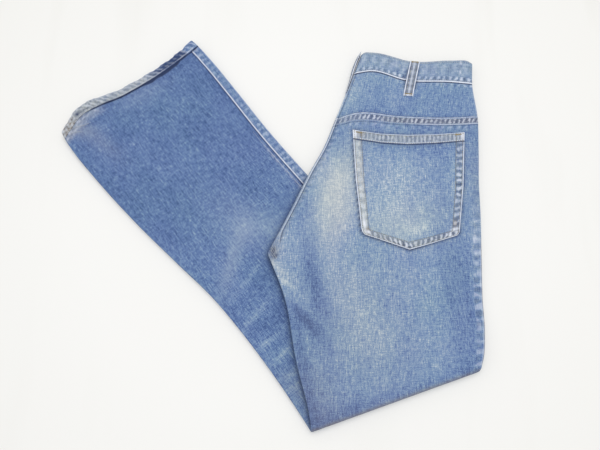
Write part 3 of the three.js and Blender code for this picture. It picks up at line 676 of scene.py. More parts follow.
def back_panel(side, material):
    """A leg's back from the yoke to the hem, doubled along its top edge, with felled
    edges and seam puckers."""
    settings = bpy.context.scene.jeans_cloth
    fine = settings.grid
    coarse = settings.hidden_grid
    start = shifted("yoke_seam", -0.5)
    end = shifted("hem_seam", 2.5)
    stops = {
        "right": step_table((2, 0.5), (2.33, 0.8), (2.5, fine), (8.9, fine), (9, 1), (10, 1), (10.4, coarse)),
        "left": step_table((2, 1.5), (2.4, coarse), (8.8, coarse), (9, 1), (10, 1), (10.1, fine), (17, fine), (18, 0.6)),
    }
    at = rows_between(start, end, stops[side])
    outer_inset, outer_drop, inner_inset, inner_drop, width = layer_columns(at, settings.wall, settings.columns)
    place = np.broadcast_to(at[:, None], outer_inset.shape)
    x, y = plan_point(place, outer_inset)
    from_outer = width - outer_inset
    from_inner = outer_inset
    lower = place > ROW["fold_start"] + 0.5
    upper = place < ROW["fold_start"]
    seat = seat_share(place)
    run = -y
    finish = finish_of(x, y)
    rise = np.zeros_like(x)

    side_strength = np.where(lower, 0.6, 0.12 + 0.88 * smooth((20 - y) / 45)) * (1 - band(y, -300, -225, 50))
    strip = band(from_outer, -5, OUTSEAM_BAND, 1.2)
    inside_strip = band(from_outer, np.where(lower, 2.5, 0.8), OUTSEAM_BAND - 1.5, 2)
    rise += 0.4 * strip * lower + 0.2 * strip * upper + 0.16 * ripple(run, 10, 1.0) * inside_strip * side_strength
    finish["wash"] += strip * side_strength * np.where(lower, 0.22, 0.02)
    broad = from_outer * np.where(lower, 1, 0.4)
    pucker(finish, inside_strip * side_strength * np.where(lower, 0.66, 0.52), run, broad, np.where(lower, 9.6, 15))
    finish["bleach"] += ridges(SIDE_SQUARES, x, y) * inside_strip * upper
    beside = band(from_outer, OUTSEAM_BAND + 2, OUTSEAM_BAND + 10, 6)
    finish["wash"] -= 0.08 * beside * side_strength
    finish["bleach"] += 0.85 * band(from_outer, OUTSEAM_BAND - 1, OUTSEAM_BAND + 0.5, 0.7) * lower
    finish["shade"] += 0.7 * band(from_outer, OUTSEAM_BAND + 0.7, OUTSEAM_BAND + 2.4, 0.8) * lower
    finish["bleach"] += 0.3 * band(from_outer, -5, 1.4, 1.5) * lower
    doubled = smooth((y + 640) / 30) * lower
    finish["bleach"] += 0.22 * band(from_outer, OUTSEAM_BAND + 4.8, OUTSEAM_BAND + 6, 0.8) * doubled
    pucker(finish, 0.3 * band(from_outer, OUTSEAM_BAND + 3, OUTSEAM_BAND + 9, 4) * doubled, run, from_outer, 10)
    worn_side = smooth((-20 - y) / 30) * upper
    finish["bleach"] += 0.25 * band(from_outer, 1.3, 2.7, 0.8) * worn_side
    finish["soil"] += 0.7 * band(from_outer, -5, 0.9, 0.7) * worn_side
    finish["wash"] -= 0.05 * strip * worn_side

    seat_line = seat * smooth((y + 48) / 8)
    rise += 0.45 * band(from_inner, 1.5, 4.2, 1) * seat
    finish["bleach"] += 0.12 * band(from_inner, -5, 1.9, 0.8) * seat
    finish["soil"] += 0.25 * band(from_inner, -5, 1.6, 0.8) * seat
    faded = 0.45 + 0.35 * smooth((y - 20) / 60)
    from_line = from_inner - 6 * smooth((-24 - y) / 26)
    finish["bleach"] += faded * band(from_line, 2.4, 3.4, 0.5) * seat_line
    finish["shade"] += 0.65 * band(from_line, 3.9, 5.2, 0.7) * seat_line
    finish["shade"] += 0.22 * band(from_inner, 5, 9, 4) * seat_line
    pucker(finish, 0.3 * band(from_inner, 6, 12, 4) * seat_line, run, from_inner, 10)
    inseam = band(from_inner, -5, 12, 12) * (1 - seat) * upper
    finish["wash"] -= 0.14 * inseam * smooth((-120 - y) / 40)
    if side == "left":
        gap = overlap_shade(x, y)
        finish["shade"] += (0.42 * np.exp(-(gap / 4.5) ** 2) + 0.12 * np.exp(-(gap / 14) ** 2)) * lower

    # Painted shade where the cloth turns round the fold: a darker band along the fold and a brownish dark line near its
    # outer edge.
    beyond = beyond_fold(x, y)
    finish["wash"] -= 0.1 * np.exp(-(beyond / 8) ** 2)
    finish["soil"] += 0.38 * np.exp(-((beyond - 4) / 2) ** 2)

    hole = ridges(WEAR_HOLE, x, y) * (side == "right")
    finish["shade"] += hole
    finish["soil"] += 0.32 * ridges((("", 7, -56, 70, 14, 8, 1),), x, y)
    rise -= 0.5 * np.clip(hole, 0, 1)

    gap, _ = line_distance(x, y, pocket_outline())
    strength = 0.5 + 0.3 * smooth((230 - x) / 40) + 0.1 * smooth((10 - y) / 40) - 0.35 * smooth((y - 95) / 20)
    finish["shade"] += strength * np.exp(-(gap / 1.9) ** 2) + 0.12 * np.exp(-(gap / 6) ** 2)

    under_yoke = (place - ROW["yoke_seam"]) * np.linalg.norm(INNER[3] - INNER[2])
    fell = band(under_yoke, -2, FELL_WIDTH, 1)
    rise += FELL_RISE * smooth((under_yoke + 0.5) / 0.9) * smooth((FELL_WIDTH + 0.5 - under_yoke) / 1.2)
    finish["bleach"] += 0.8 * band(under_yoke, -2, 1, 0.8) * (0.65 + 0.35 * ripple(outer_inset, 13, 1.2))
    finish["soil"] += (0.26 + 0.16 * smooth((outer_inset - 50) / 50)) * band(under_yoke, 2, 10, 2)
    finish["wash"] -= 0.03 * fell
    low_edge = 0.15 + 0.45 * smooth((outer_inset - 90) / 50)
    finish["bleach"] += low_edge * band(under_yoke, 10.4, 11.7, 0.8)
    finish["shade"] += 0.5 * band(under_yoke, 12, 13.8, 1) * (0.75 + 0.25 * ripple(outer_inset, 17, 3.2))
    pucker(finish, 0.35 * band(under_yoke, 13, 19, 6), outer_inset, under_yoke, 11)
    pucker(finish, 0.9 * band(under_yoke, 2.2, 9.6, 1.4), outer_inset, under_yoke, 6.8)

    to_hem = (ROW["hem_seam"] - place) * np.linalg.norm(INNER[18] - INNER[17])
    rope = ripple(outer_inset, 13, 5.2)
    thick = 1.2 + 2.2 * smooth((outer_inset - 120) / 40) * smooth((width - 30 - outer_inset) / 20)
    thick = thick + 1.2 * uneven(x, y, 31, 1.1) * smooth((outer_inset - 120) / 40)
    finish["shade"] += 1.1 * band(to_hem, -5, thick, 1.6) * smooth((outer_inset - 44) / 14)
    finish["wash"] -= 0.08 * band(to_hem, 1, 8, 5) * smooth((outer_inset - 90) / 40)
    rise += 0.35 * rope * band(to_hem, 0, 16, 10) * (outer_inset > 4) * (from_outer > 4)
    ragged = uneven(x, y, 9, 2.3) + 0.6 * uneven(x, y, 4.5, 0.8)
    corner = smooth((80 - outer_inset) / 30) * smooth((13 - to_hem) / 9)
    finish["bleach"] += 0.4 * corner * smooth(ragged + 0.2)
    finish["cream"] += 0.4 * corner
    finish["shade"] += 0.4 * corner * smooth(-ragged - 0.3)
    tuck = np.where(to_hem < -0.2, 0.5, 0)

    visible = on_top(side, place)
    flatness = np.sin(np.clip(1 - outer_drop / np.maximum(outer_drop.max(1)[:, None], 1e-6), 0, 1) * math.pi / 2)
    rise = rise * visible * flatness
    stack = stack_at(place) + stack_relief(x, y)
    drop = outer_drop - rise + tuck
    height = stack - drop if side == "right" else drop
    outer = fold_into_place(x, y, height, stack)
    inner_x, inner_y = plan_point(place, inner_inset)
    inner_stack = stack_at(place) + stack_relief(inner_x, inner_y)
    inner_sink = inner_drop + tuck
    height = inner_stack - inner_sink if side == "right" else inner_sink
    inner = fold_into_place(inner_x, inner_y, height, inner_stack)
    uv = np.stack([x, y], -1)
    return cloth_piece(f"{side}_back_cloth", outer, inner, uv, finish, material)


def yoke(side, material):
    """A yoke, whose lower edge runs under the panel's felled edge."""
    settings = bpy.context.scene.jeans_cloth
    start = shifted("waist_seam", -2.5)
    end = shifted("yoke_seam", 3.5)
    steps = step_table((1, 0.7), (1.15, 1.6), (1.8, 1.6), (1.92, 0.6), (2, 0.6))
    at = rows_between(start, end, steps)
    outer_inset, outer_drop, inner_inset, inner_drop, width = layer_columns(at, settings.wall, settings.columns)
    place = np.broadcast_to(at[:, None], outer_inset.shape)
    x, y = plan_point(place, outer_inset)
    length = np.linalg.norm(INNER[2] - INNER[1])
    above = (ROW["yoke_seam"] - place) * length
    below = (place - ROW["waist_seam"]) * length
    from_outer = width - outer_inset
    finish = finish_of(x, y)
    finish["shade"] += 0.75 * band(above, -5, 1.5, 0.8) + 0.14 * band(above, 1, 5, 4)
    finish["wash"] -= 0.05 * band(above, 1, 9, 6)
    finish["shade"] += 0.9 * band(below, -3, 1.7, 0.7)
    finish["bleach"] += 0.3 * band(below, 2.2, 3.2, 0.8) * (0.5 + 0.5 * ripple(outer_inset, 31, 0.6))
    from_loop = np.abs(outer_inset - LOOP_SHARE * width)
    beside_loop = np.exp(-((from_loop - 7.5) / 2.6) ** 2) * band(below, -5, 17, 4)
    finish["shade"] += (0.55 * beside_loop + 0.3 * band(from_loop, -1, 8, 2) * band(below, 14, 19, 3)) * (side == "right")
    right_part = 0.25 + 0.75 * smooth((outer_inset - 95) / 30)
    pucker(finish, 0.6 * band(below, 3.5, 8, 4) * right_part, outer_inset, below, 10)
    finish["bleach"] += 0.35 * band(outer_inset, -5, 2.2, 1) + 0.15 * band(from_outer, -5, 2, 1.5)
    finish["shade"] += 0.5 * band(outer_inset, 3.6, 5.4, 1)
    upper_waves = ripple(outer_inset, 11, 2.2)
    rise = 0.12 * upper_waves * band(below, 3, 12, 6)
    visible = on_top(side, place)
    flatness = np.clip(1 - outer_drop / np.maximum(outer_drop.max(1)[:, None], 1e-6), 0, 1)
    tuck = np.where(below < 0.2, 0.3, 0) + (settings.wall + 0.15) * smooth(-above / 0.8)
    stack = stack_at(place) + stack_relief(x, y)
    drop = outer_drop - rise * flatness * visible + tuck
    height = stack - drop if side == "right" else drop
    outer = fold_into_place(x, y, height, stack)
    inner_x, inner_y = plan_point(place, inner_inset)
    inner_stack = stack_at(place) + stack_relief(inner_x, inner_y)
    sink = inner_drop + tuck
    height = inner_stack - sink if side == "right" else sink
    inner = fold_into_place(inner_x, inner_y, height, inner_stack)
    uv = np.stack([x * 0.98 - y * 0.2 + 410, y * 0.98 + x * 0.2], -1)
    return cloth_piece(f"{side}_yoke_cloth", outer, inner, uv, finish, material)


def side_points(points, share):
    points = np.array(points, float)
    knots = run_lengths(points) / run_lengths(points)[-1]
    return np.stack([np.interp(share, knots, points[:, axis]) for axis in range(2)], -1)


def pocket_plan(s, t):
    """A point of the pocket from shares across and down, as a patch between its edges."""
    top = side_points(POCKET_TOP, s)
    bottom = side_points(POCKET_BOTTOM, s)
    left = side_points(POCKET_LEFT, t)
    right = side_points(POCKET_RIGHT, t)
    corners = [np.array(point, float) for point in (POCKET_LEFT[0], POCKET_RIGHT[0], POCKET_LEFT[-1], POCKET_RIGHT[-1])]
    s = s[..., None]
    t = t[..., None]
    mixed = lerp(lerp(corners[0], corners[1], s), lerp(corners[2], corners[3], s), t)
    return lerp(top, bottom, t) + lerp(left, right, s) - mixed


def bordered_shares(length, border, fine, coarse):
    """Shares from 0 to 1, close together near both ends."""
    near = np.concatenate([[0, 0.35, 0.8, 1.4], np.arange(2.2, border, fine)])
    count = int(round((length - 2 * border) / coarse))
    middle = np.linspace(border, length - border, count)
    return np.concatenate([near, middle, length - near[::-1]]) / length


def back_pocket(side, material):
    """A patch pocket with a turned top hem, worn edges and puckered double stitching."""
    width = 146.0
    depth = 165.0
    s, t = np.meshgrid(bordered_shares(width, 15, 0.75, 2.4), bordered_shares(depth, 17, 0.75, 2.4))
    plan = pocket_plan(s, t)
    x = plan[..., 0]
    y = plan[..., 1]
    at, inset = section_position(x, y)
    from_left = s * width
    from_right = (1 - s) * width
    from_top = t * depth
    from_bottom = (1 - t) * depth
    sides = np.minimum(np.minimum(from_left, from_right), from_bottom)
    nearest = np.minimum(sides, from_top)
    finish = finish_of(x, y)
    finish["wash"] = 0.6 + 0.45 * (finish["wash"] - 0.57) + ridges(POCKET_RUBS, x, y)
    finish["cream"] += 0.3 * ridges((("", 180, -15, 20, 60, 30, 1),), x, y)
    body = band(from_top, 14, 200, 2)
    left_band = band(from_left, 1.8, POCKET_BAND - 1, 2) * body
    right_band = band(from_right, 1.8, POCKET_BAND - 0.5, 2) * body * band(from_bottom, 9, 200, 3)
    low_band = band(from_bottom, 1.8, POCKET_BAND - 1, 2) * band(from_left, 5, 200, 4)
    top_band = band(from_top, 1.6, 12, 1.4)
    rise = 0.16 * ripple(from_top, 8.6, 2.1) * (left_band + right_band)
    rise += 0.16 * ripple(from_left, 8.8, 1.3) * low_band
    rise += 0.35 * band(from_top, 1, 13.6, 1.2) + 0.1 * ripple(from_left, 8.2, 3.3) * top_band
    finish["wash"] += 0.24 * left_band - 0.03 * right_band + 0.01 * low_band + 0.04 * top_band
    finish["cream"] += 0.4 * left_band + 0.35 * top_band + 0.1 * low_band
    finish["soil"] += 0.16 * band(from_left, 7, POCKET_BAND, 3) * left_band + 0.15 * right_band + 0.3 * low_band + 0.2 * top_band
    pucker(finish, 0.42 * left_band, from_top, from_left, 14)
    pucker(finish, 0.95 * right_band, from_top, from_right, 10.5)
    pucker(finish, 1.1 * low_band, from_left, from_bottom, 7.6)
    pucker(finish, 0.6 * top_band, from_left, from_top, 5.4)
    wear = 0.85 + 0.15 * ripple(from_top + from_left, 19, 0.2)
    finish["bleach"] += 0.9 * wear * band(sides, -1, 1.3, 0.6) + 0.6 * band(from_top, -1, 1.2, 0.6)
    finish["cream"] += 0.4 * band(from_top, -1, 1.3, 0.6)
    finish["shade"] += 0.25 * band(sides, 1.8, 2.6, 0.6) * body
    finish["shade"] += 0.3 * band(sides, POCKET_BAND - 0.4, POCKET_BAND + 1, 1) * body
    finish["bleach"] += 0.7 * band(from_top, 12.2, 13.6, 0.7)
    finish["shade"] += 0.85 * band(from_top, 14, 15.8, 0.8) + 0.2 * band(from_top, 15, 20, 5)
    finish["bleach"] += ridges(POCKET_CORNERS, x, y)
    finish["cream"] += 0.6 * ridges(POCKET_CORNERS, x, y)
    finish["soil"] += ridges(POCKET_STAINS, x, y)

    stack = stack_at(at) + stack_relief(x, y)
    edge = np.clip(nearest / 1.2, 0, 1)
    round_off = 0.5 * (1 - np.sqrt(1 - (1 - edge) ** 2))
    out = SEAM_GAP + 1.15 - round_off + rise * (side == "right") * np.clip(nearest / 2, 0, 1)
    under = np.full_like(out, SEAM_GAP - 0.05)
    heights = [stack + value if side == "right" else -value for value in (out, under)]
    outer, inner = (fold_into_place(x, y, height, stack) for height in heights)
    uv = np.stack([x + 730, y + 90], -1)
    return cloth_piece(f"{side}_pocket_cloth", outer, inner, uv, finish, material)


def across(height, normal, leftward, count):
    """Straight stretch of a ring's centre line, as inset base, inset share, height and
    the normal's two parts."""
    shares = np.linspace(0, 1, count)
    if leftward:
        shares = shares[::-1]
    return [(5 - 10 * share, share, height, 0, normal) for share in shares]


def bend(side, low, high, edge, steps, sign, downward=False):
    """Rounded stretch of a ring's centre line."""
    radius = (high - low) / 2
    items = []
    for k in range(steps + 1):
        angle = -math.pi / 2 + math.pi * k / steps
        out = math.cos(angle) * radius
        height = (low + high) / 2 + math.sin(angle) * radius
        outward = -1 if side == "left" else 1
        base = edge + radius - out if side == "left" else out - edge - radius
        share = 0 if side == "left" else 1
        items.append((base, share, height, outward * math.cos(angle) * sign, math.sin(angle) * sign))
    return items[::-1] if downward else items


def ring_piece(name, path, wall, at, place_ring, material, finish_ring):
    """A closed ring of cloth across the leg and back. place_ring carries a row, inset and
    height into place, and finish_ring gives its outward relief and its finish."""
    path = np.array(path, float)
    place = np.broadcast_to(at[:, None], (len(at), len(path)))
    width = width_at(at)[:, None]
    inset = path[:, 0] + path[:, 1] * width
    x, y = plan_point(place, inset)
    rise, thin, finish = finish_ring(place, inset, width, x, y, path[:, 2], path[:, 4])
    grids = []
    for sign, lift in ((1, rise), (-1, 0)):
        reach = wall / 2 * thin * sign + lift
        grids.append(place_ring(place, inset + path[:, 3] * reach, path[:, 2] + path[:, 4] * reach))
    uv = np.stack([x, y], -1)
    return cloth_piece(name, grids[0], grids[1], uv, finish, material, ring=True)


def waistband(material):
    """The waistband, one strip round the waist that folds into four layers."""
    count = 110
    pitch = BAND_WALL + SEAM_GAP
    level = [BAND_WALL / 2 + k * pitch for k in range(4)]
    edge = BAND_WALL / 2
    path = across(level[0], -1, False, count)
    path += bend("right", level[0], level[1], edge, 6, 1)
    path += across(level[1], 1, True, count)
    path += bend("left", level[1], level[2], edge + pitch, 6, -1)
    path += across(level[2], -1, False, count)
    path += bend("right", level[2], level[3], edge, 6, 1)
    path += across(level[3], 1, True, count)
    path += bend("left", level[0], level[3], edge, 12, 1, True)
    at = rows_between(0, shifted("waist_seam", -SEAM_GAP), step_table((0, 0.7), (0.1, 1.5), (0.75, 1.4), (1, 0.6)))

    def place_ring(place, inset, height):
        x, y = plan_point(place, inset)
        from_outer = width_at(place) - inset
        droop = 3.4 * np.exp(-(inset / 4.5) ** 2) + 4 * np.exp(-(from_outer / 5) ** 2)
        droop = droop - 1.2 * np.exp(-((from_outer - 15) / 8) ** 2)
        return np.stack([x, y - droop * (1 - place), BAND_LIFT + height], -1)

    def finish_ring(place, inset, width, x, y, height, normal):
        length = np.linalg.norm(INNER[1] - INNER[0])
        below = place * length
        above = (1 - place) * length
        outside = np.clip(np.abs(height - sum(level) / 4) / 3.3, 0, 1) > 0.9
        finish = finish_of(x, y)
        swell = 0.18 * uneven(x, y, 46, 4.1)
        low_band = band(above, 3, 10, 4)
        finish["wash"] += 0.07 * uneven(x, y, 33, 0.7) - 0.04 * band(below, 8, 20, 10)
        finish["wash"] += 0.08 * band(inset, 165, 170, 14) * band(below, 4, 30, 8) - 0.03
        pucker(finish, 0.95 * low_band, inset, above, 9)
        pucker(finish, 0.3 * band(above, 10, 34, 8), inset, above, 15)
        finish["cream"] += 0.12 + 0.2 * band(below, 6, 20, 14) * (0.5 + 0.5 * uneven(x, y, 60, 2.2))
        finish["bleach"] += 0.28 * band(below, -2, 1.4, 1.2) + 1.0 * band(above, 0.2, 1.9, 0.6)
        finish["soil"] += 0.35 * band(below, -2, 2, 1.5)
        finish["shade"] += 0.55 * band(above, 2.6, 3.6, 0.7) + 0.6 * band(above, -2, 0.1, 0.5)
        finish["shade"] += 0.16 * band(below, 3.2, 4.6, 1.2)
        finish["bleach"] += ridges(BAND_TACKS, x, y)
        from_loop = np.abs(inset - LOOP_SHARE * width)
        finish["shade"] += 0.4 * np.exp(-((from_loop - 7.5) / 2.2) ** 2) * band(above, -2, 22, 8)
        rise = (swell + 0.2 * ripple(inset, 9.6, 0.9) * low_band) * outside
        rise = rise - 0.25 * band(below, 3, 4.4, 1.4) * outside
        thin = 1 - 0.6 * np.exp(-(below / 0.7) ** 2) - 0.35 * np.exp(-(above / 0.5) ** 2)
        return rise, thin, finish

    return ring_piece("waistband_cloth", path, BAND_WALL - 0.1, at, place_ring, material, finish_ring)


def leg_hem(side, material):
    """A turned hem, roped by washing, with a slit between its two walls."""
    pitch = HEM_WALL + HEM_SLIT
    base = 0 if side == "left" else 2 * HEM_WALL + HEM_SLIT + SEAM_GAP
    levels = [base + HEM_WALL / 2, base + HEM_WALL / 2 + pitch]
    edge = HEM_WALL / 2
    path = across(levels[0], -1, False, 220)
    path += bend("right", levels[0], levels[1], edge, 8, 1)
    path += across(levels[1], 1, True, 220)
    path += bend("left", levels[0], levels[1], edge, 8, 1, True)
    at = rows_between(ROW["hem_seam"], ROW["hem_edge"], step_table((18, 0.6), (18.3, 0.8), (18.8, 0.8), (19, 0.4)))
    stack = STACKS[ROW["hem_edge"]]
    length = np.linalg.norm(INNER[19] - INNER[18])

    def place_ring(place, inset, height):
        down = (place - ROW["hem_seam"]) * length
        middle = smooth((width_at(place) - 8 - inset) / 16)
        wobble = (0.9 * ripple(inset, 27, 2.6) + 0.4 * ripple(inset, 9, 1.2) - 1.4) * middle * down / length
        x, y = plan_point(place + wobble / length, inset)
        return fold_into_place(x, y, height, stack)

    def finish_ring(place, inset, width, x, y, height, normal):
        down = (place - ROW["hem_seam"]) * length
        up = (ROW["hem_edge"] - place) * length
        slant = inset + 0.9 * down
        rope = ripple(slant, 11.5, 5.2)
        small = ripple(slant, 5.3, 1.4)
        finish = finish_of(x, y)
        left_half = smooth((178 - inset) / 40)
        near_seam = smooth((inset - width + 26) / 8)
        dark_part = (1 - left_half) * (1 - near_seam)
        inside = band(down, 1.5, 12, 3)
        finish["wash"] += 0.46 * left_half + 0.12 * near_seam - 0.2 * dark_part
        finish["wash"] += 0.12 * uneven(x, y, 17, 3.3)
        finish["cream"] += 0.25 * left_half
        finish["soil"] += 0.3 * left_half
        pucker(finish, inside * (0.5 + 0.5 * dark_part), slant, down, 9)
        finish["bleach"] += 0.2 * left_half * band(up, -1, 4, 4) * (0.6 + 0.4 * rope)
        finish["bleach"] += 0.2 * band(up, -1, 1, 1) * (1 - 0.6 * dark_part)
        finish["shade"] += 0.62 * dark_part * inside
        finish["shade"] += 0.9 * band(down, -1, 0.9, 0.7) * band(inset, 70, 215, 12)
        finish["bleach"] += 0.7 * band(down, 1, 2, 0.7) * band(inset, 202, width - 8, 6)
        finish["bleach"] += 0.3 * band(down, 1.4, 2.8, 0.8) * band(inset, 96, 176, 12)
        ragged = uneven(x, y, 9, 2.3) + 0.6 * uneven(x, y, 4.5, 0.8)
        corner = smooth((80 - inset) / 30)
        finish["bleach"] += 0.25 * corner * smooth(ragged + 0.2)
        finish["cream"] += 0.35 * corner
        finish["soil"] += 0.6 * smooth((34 - inset) / 16) * smooth(0.4 - ragged)
        finish["shade"] += 0.5 * corner * smooth(-ragged - 0.2) + 0.9 * ridges(HEM_SPOTS, x, y)
        outside = (normal < -0.2) if side == "left" else (normal > 0.2)
        rise = (0.34 * rope + 0.14 * small) * inside * outside * (side == "left")
        thin = 1 - 0.55 * np.exp(-(up / 0.7) ** 2)
        return rise, thin, finish

    return ring_piece(f"{side}_hem_cloth", path, HEM_WALL - 0.1, at, place_ring, material, finish_ring)


def front_cloth(material):
    """The hidden fronts of both legs, one on the other, layered at their edges."""
    start = shifted("waist_seam", FRONT_START)
    end = shifted("hem_seam", -SEAM_GAP)
    at = rows_between(start, end, step_table((1, 6), (8.8, 6), (9, 1), (10, 1), (10.2, 6), (17, 5)))
    share = np.linspace(0, 1, 40)
    stack = stack_at(at)[:, None]
    leg = (stack - SEAM_GAP) / 2
    nose = leg / 2
    width = width_at(at)[:, None]
    seat = seat_share(at)[:, None]
    skin = DENIM_ROOM + SEAM_GAP + FRONT_EASE * seat
    inset = FRONT_INSET * seat
    clear = np.maximum(nose - skin, 0)
    half = math.sqrt(0.5)
    lobe_in = np.concatenate([nose + 0.4, nose - clear, nose * 0.2, nose * 0, nose * (1 - half), nose * 0.8], 1)
    lobe_up = np.concatenate([skin, nose + LIP, nose + LIP, nose * 1.15 + LIP, nose * (1 + half), leg], 1)
    flat = lerp(inset + 14, width - 9, share[None, :])
    level = np.broadcast_to(skin, flat.shape)
    loops = [
        (flat, stack - level),
        (width - lobe_in, stack - lobe_up),
        (width - lobe_in[:, ::-1], lobe_up[:, ::-1]),
        (flat[:, ::-1], level),
        (inset + lobe_in, lobe_up),
        (inset + lobe_in[:, ::-1], stack - lobe_up[:, ::-1]),
    ]
    insets = np.concatenate([part[0] for part in loops], 1)
    heights = np.concatenate([part[1] for part in loops], 1)
    place = np.broadcast_to(at[:, None], insets.shape)
    x, y = plan_point(place, insets)
    relief = stack_relief(x, y)
    heights = heights + np.where(heights > stack / 2, relief, 0)
    points = fold_into_place(x, y, heights, stack_at(place) + relief)
    rows, columns = x.shape
    flat_points = points.reshape(-1, 3)
    flat_points[:, :2] -= PLAN_CENTRE
    i, j = np.meshgrid(np.arange(rows - 1), np.arange(columns), indexing="ij")
    i = i.ravel()
    j = j.ravel()
    after = (j + 1) % columns
    faces = np.stack([i * columns + j, i * columns + after, (i + 1) * columns + after, (i + 1) * columns + j], 1)
    mesh = bpy.data.meshes.new("front_cloth")
    ends = [list(range(columns))[::-1], list(range((rows - 1) * columns, rows * columns))]
    mesh.from_pydata((flat_points * MM).tolist(), [], faces.tolist() + ends)
    finish = finish_of(x, y)
    finish["wash"] -= 0.08
    finish_mesh(mesh, np.stack([x, y], -1).reshape(-1, 2) + [1310, 0], finish, material)
    work = bmesh.new()
    work.from_mesh(mesh)
    bmesh.ops.triangulate(work, faces=[face for face in work.faces if len(face.verts) > 4], ngon_method="EAR_CLIP")
    bmesh.ops.recalc_face_normals(work, faces=work.faces)
    work.to_mesh(mesh)
    work.free()
    piece = bpy.data.objects.new("front_cloth", mesh)
    bpy.context.scene.collection.objects.link(piece)
    return piece


def ribbon(name, centre, sideways, upward, width, wall, material, finish):
    """A belt loop: a folded strip with two raised edges, along a row of centre points."""
    shares = np.linspace(-1, 1, 15)
    crown = 1 - shares ** 6
    ridge = 0.16 * (band(np.abs(shares), 0.62, 1.2, 0.14) - band(np.abs(shares), 0.5, 0.6, 0.08))
    outer = centre[:, None, :] + sideways[:, None, :] * (shares * width / 2)[None, :, None]
    lift = wall / 2 * (0.35 + 0.65 * crown) + ridge
    inner = outer - upward[:, None, :] * (wall / 2 * (0.35 + 0.65 * crown))[None, :, None]
    outer = outer + upward[:, None, :] * lift[None, :, None]
    along = np.broadcast_to(run_lengths(centre)[:, None], outer.shape[:2])
    over = np.broadcast_to(shares[None, :] * width / 2, outer.shape[:2])
    uv = np.stack([over + 1800, along], -1)
    return cloth_piece(name, outer, inner, uv, finish(along, over), material)


def loop_finish(along, over):
    """A belt loop with white worn edges, dark grooves beside them and a paler middle."""
    zero = np.zeros(along.shape)
    length = along.max()
    reach = np.abs(over)
    finish = {"wash": zero + 0.5, "cream": zero + 0.2, "soil": zero + 0.25, "seam": np.stack([along, over], -1)}
    finish["bleach"] = 0.9 * band(reach, 5.5, 9, 0.7) + 0.4 * band(reach, -1, 1.5, 0.8)
    finish["shade"] = 0.6 * band(reach, 4.1, 5.2, 0.7) + 0.3 * band(reach, 1.8, 2.4, 0.6)
    finish["shade"] = finish["shade"] + 0.15 * ripple(along, 13, 0.9)
    finish["pucker"] = 0.4 * band(reach, -1, 4, 1)
    ends = band(along, length - 3.4, length + 1, 1)
    finish["bleach"] = finish["bleach"] + 0.9 * ends
    finish["soil"] = finish["soil"] * (1 - ends)
    return finish


def smooth_rows(table, column, steps):
    places = np.array([row[0] for row in table], float)
    values = np.array([row[column] for row in table], float)
    at = np.linspace(places[0], places[-1], steps)
    return at, curve(places, values, at)


def middle_loop(side, material):
    """The belt loop in the middle of the back, over the waistband."""
    at, arch = smooth_rows(LOOP_STATIONS, 1, 44)
    width = width_at(at)
    x, y = plan_point(at, width * LOOP_SHARE)
    wall = 1.1
    if side == "left":
        z = np.full_like(x, 0.12 + wall / 2)
    else:
        band_top = BAND_LIFT + STACKS[0]
        yoke_top = rest_height(x, y) + stack_at(at) + stack_relief(x, y)
        under = lerp(band_top, yoke_top, smooth((at - 0.96) / 0.1))
        z = under + SEAM_GAP + LOOP_ARCH * np.maximum(arch, 0) + wall / 2
    centre = np.stack([x, y, z], -1)
    right = outer_edge(at) - inner_edge(at)
    right = right / np.linalg.norm(right, axis=1)[:, None]
    sideways = np.concatenate([right, np.zeros((len(at), 1))], 1)
    upward = np.zeros_like(centre)
    upward[:, 2] = 1 if side == "right" else -1
    return ribbon(f"{side}_belt_loop", centre, sideways, upward, LOOP_WIDTH, wall, material, loop_finish)


def centre_loop(material):
    """The centre back loop, creased round the folded edge of the waistband."""
    at, stand = smooth_rows(LOOP_STATIONS, 2, 40)
    edge = inner_edge(at)
    step = np.gradient(edge, axis=0)
    step = step / np.linalg.norm(step, axis=1)[:, None]
    out = np.stack([step[:, 1], -step[:, 0]], 1)
    turn = np.linspace(-1, 1, 17)
    middle = 6.0
    reach_in = 0.6
    half_height = 5.3
    wall = 1.05
    rows = []
    for grow in (wall / 2, -wall / 2):
        angle = turn * math.radians(97)
        bulge = np.maximum(stand, 0.3)[:, None] + 0.4
        side_reach = (bulge + reach_in) / 2
        away = np.where(np.abs(angle) < math.pi / 2, 1, 1.6) * np.cos(angle)[None, :] * (side_reach + grow)
        away = away + (bulge - reach_in) / 2
        z = middle + np.sin(angle) * (half_height + grow) / math.sin(math.pi / 2)
        flat = edge[:, None, :] + out[:, None, :] * away[..., None]
        rows.append(np.concatenate([flat, np.broadcast_to(z[None, :, None], away.shape + (1,))], 2))
    along = np.broadcast_to(run_lengths(edge)[:, None], rows[0].shape[:2])
    over = np.broadcast_to((turn * LOOP_WIDTH / 2)[None, :], rows[0].shape[:2])
    uv = np.stack([over + 1900, along], -1)
    return cloth_piece("centre_belt_loop", rows[0], rows[1], uv, loop_finish(along, over), material)


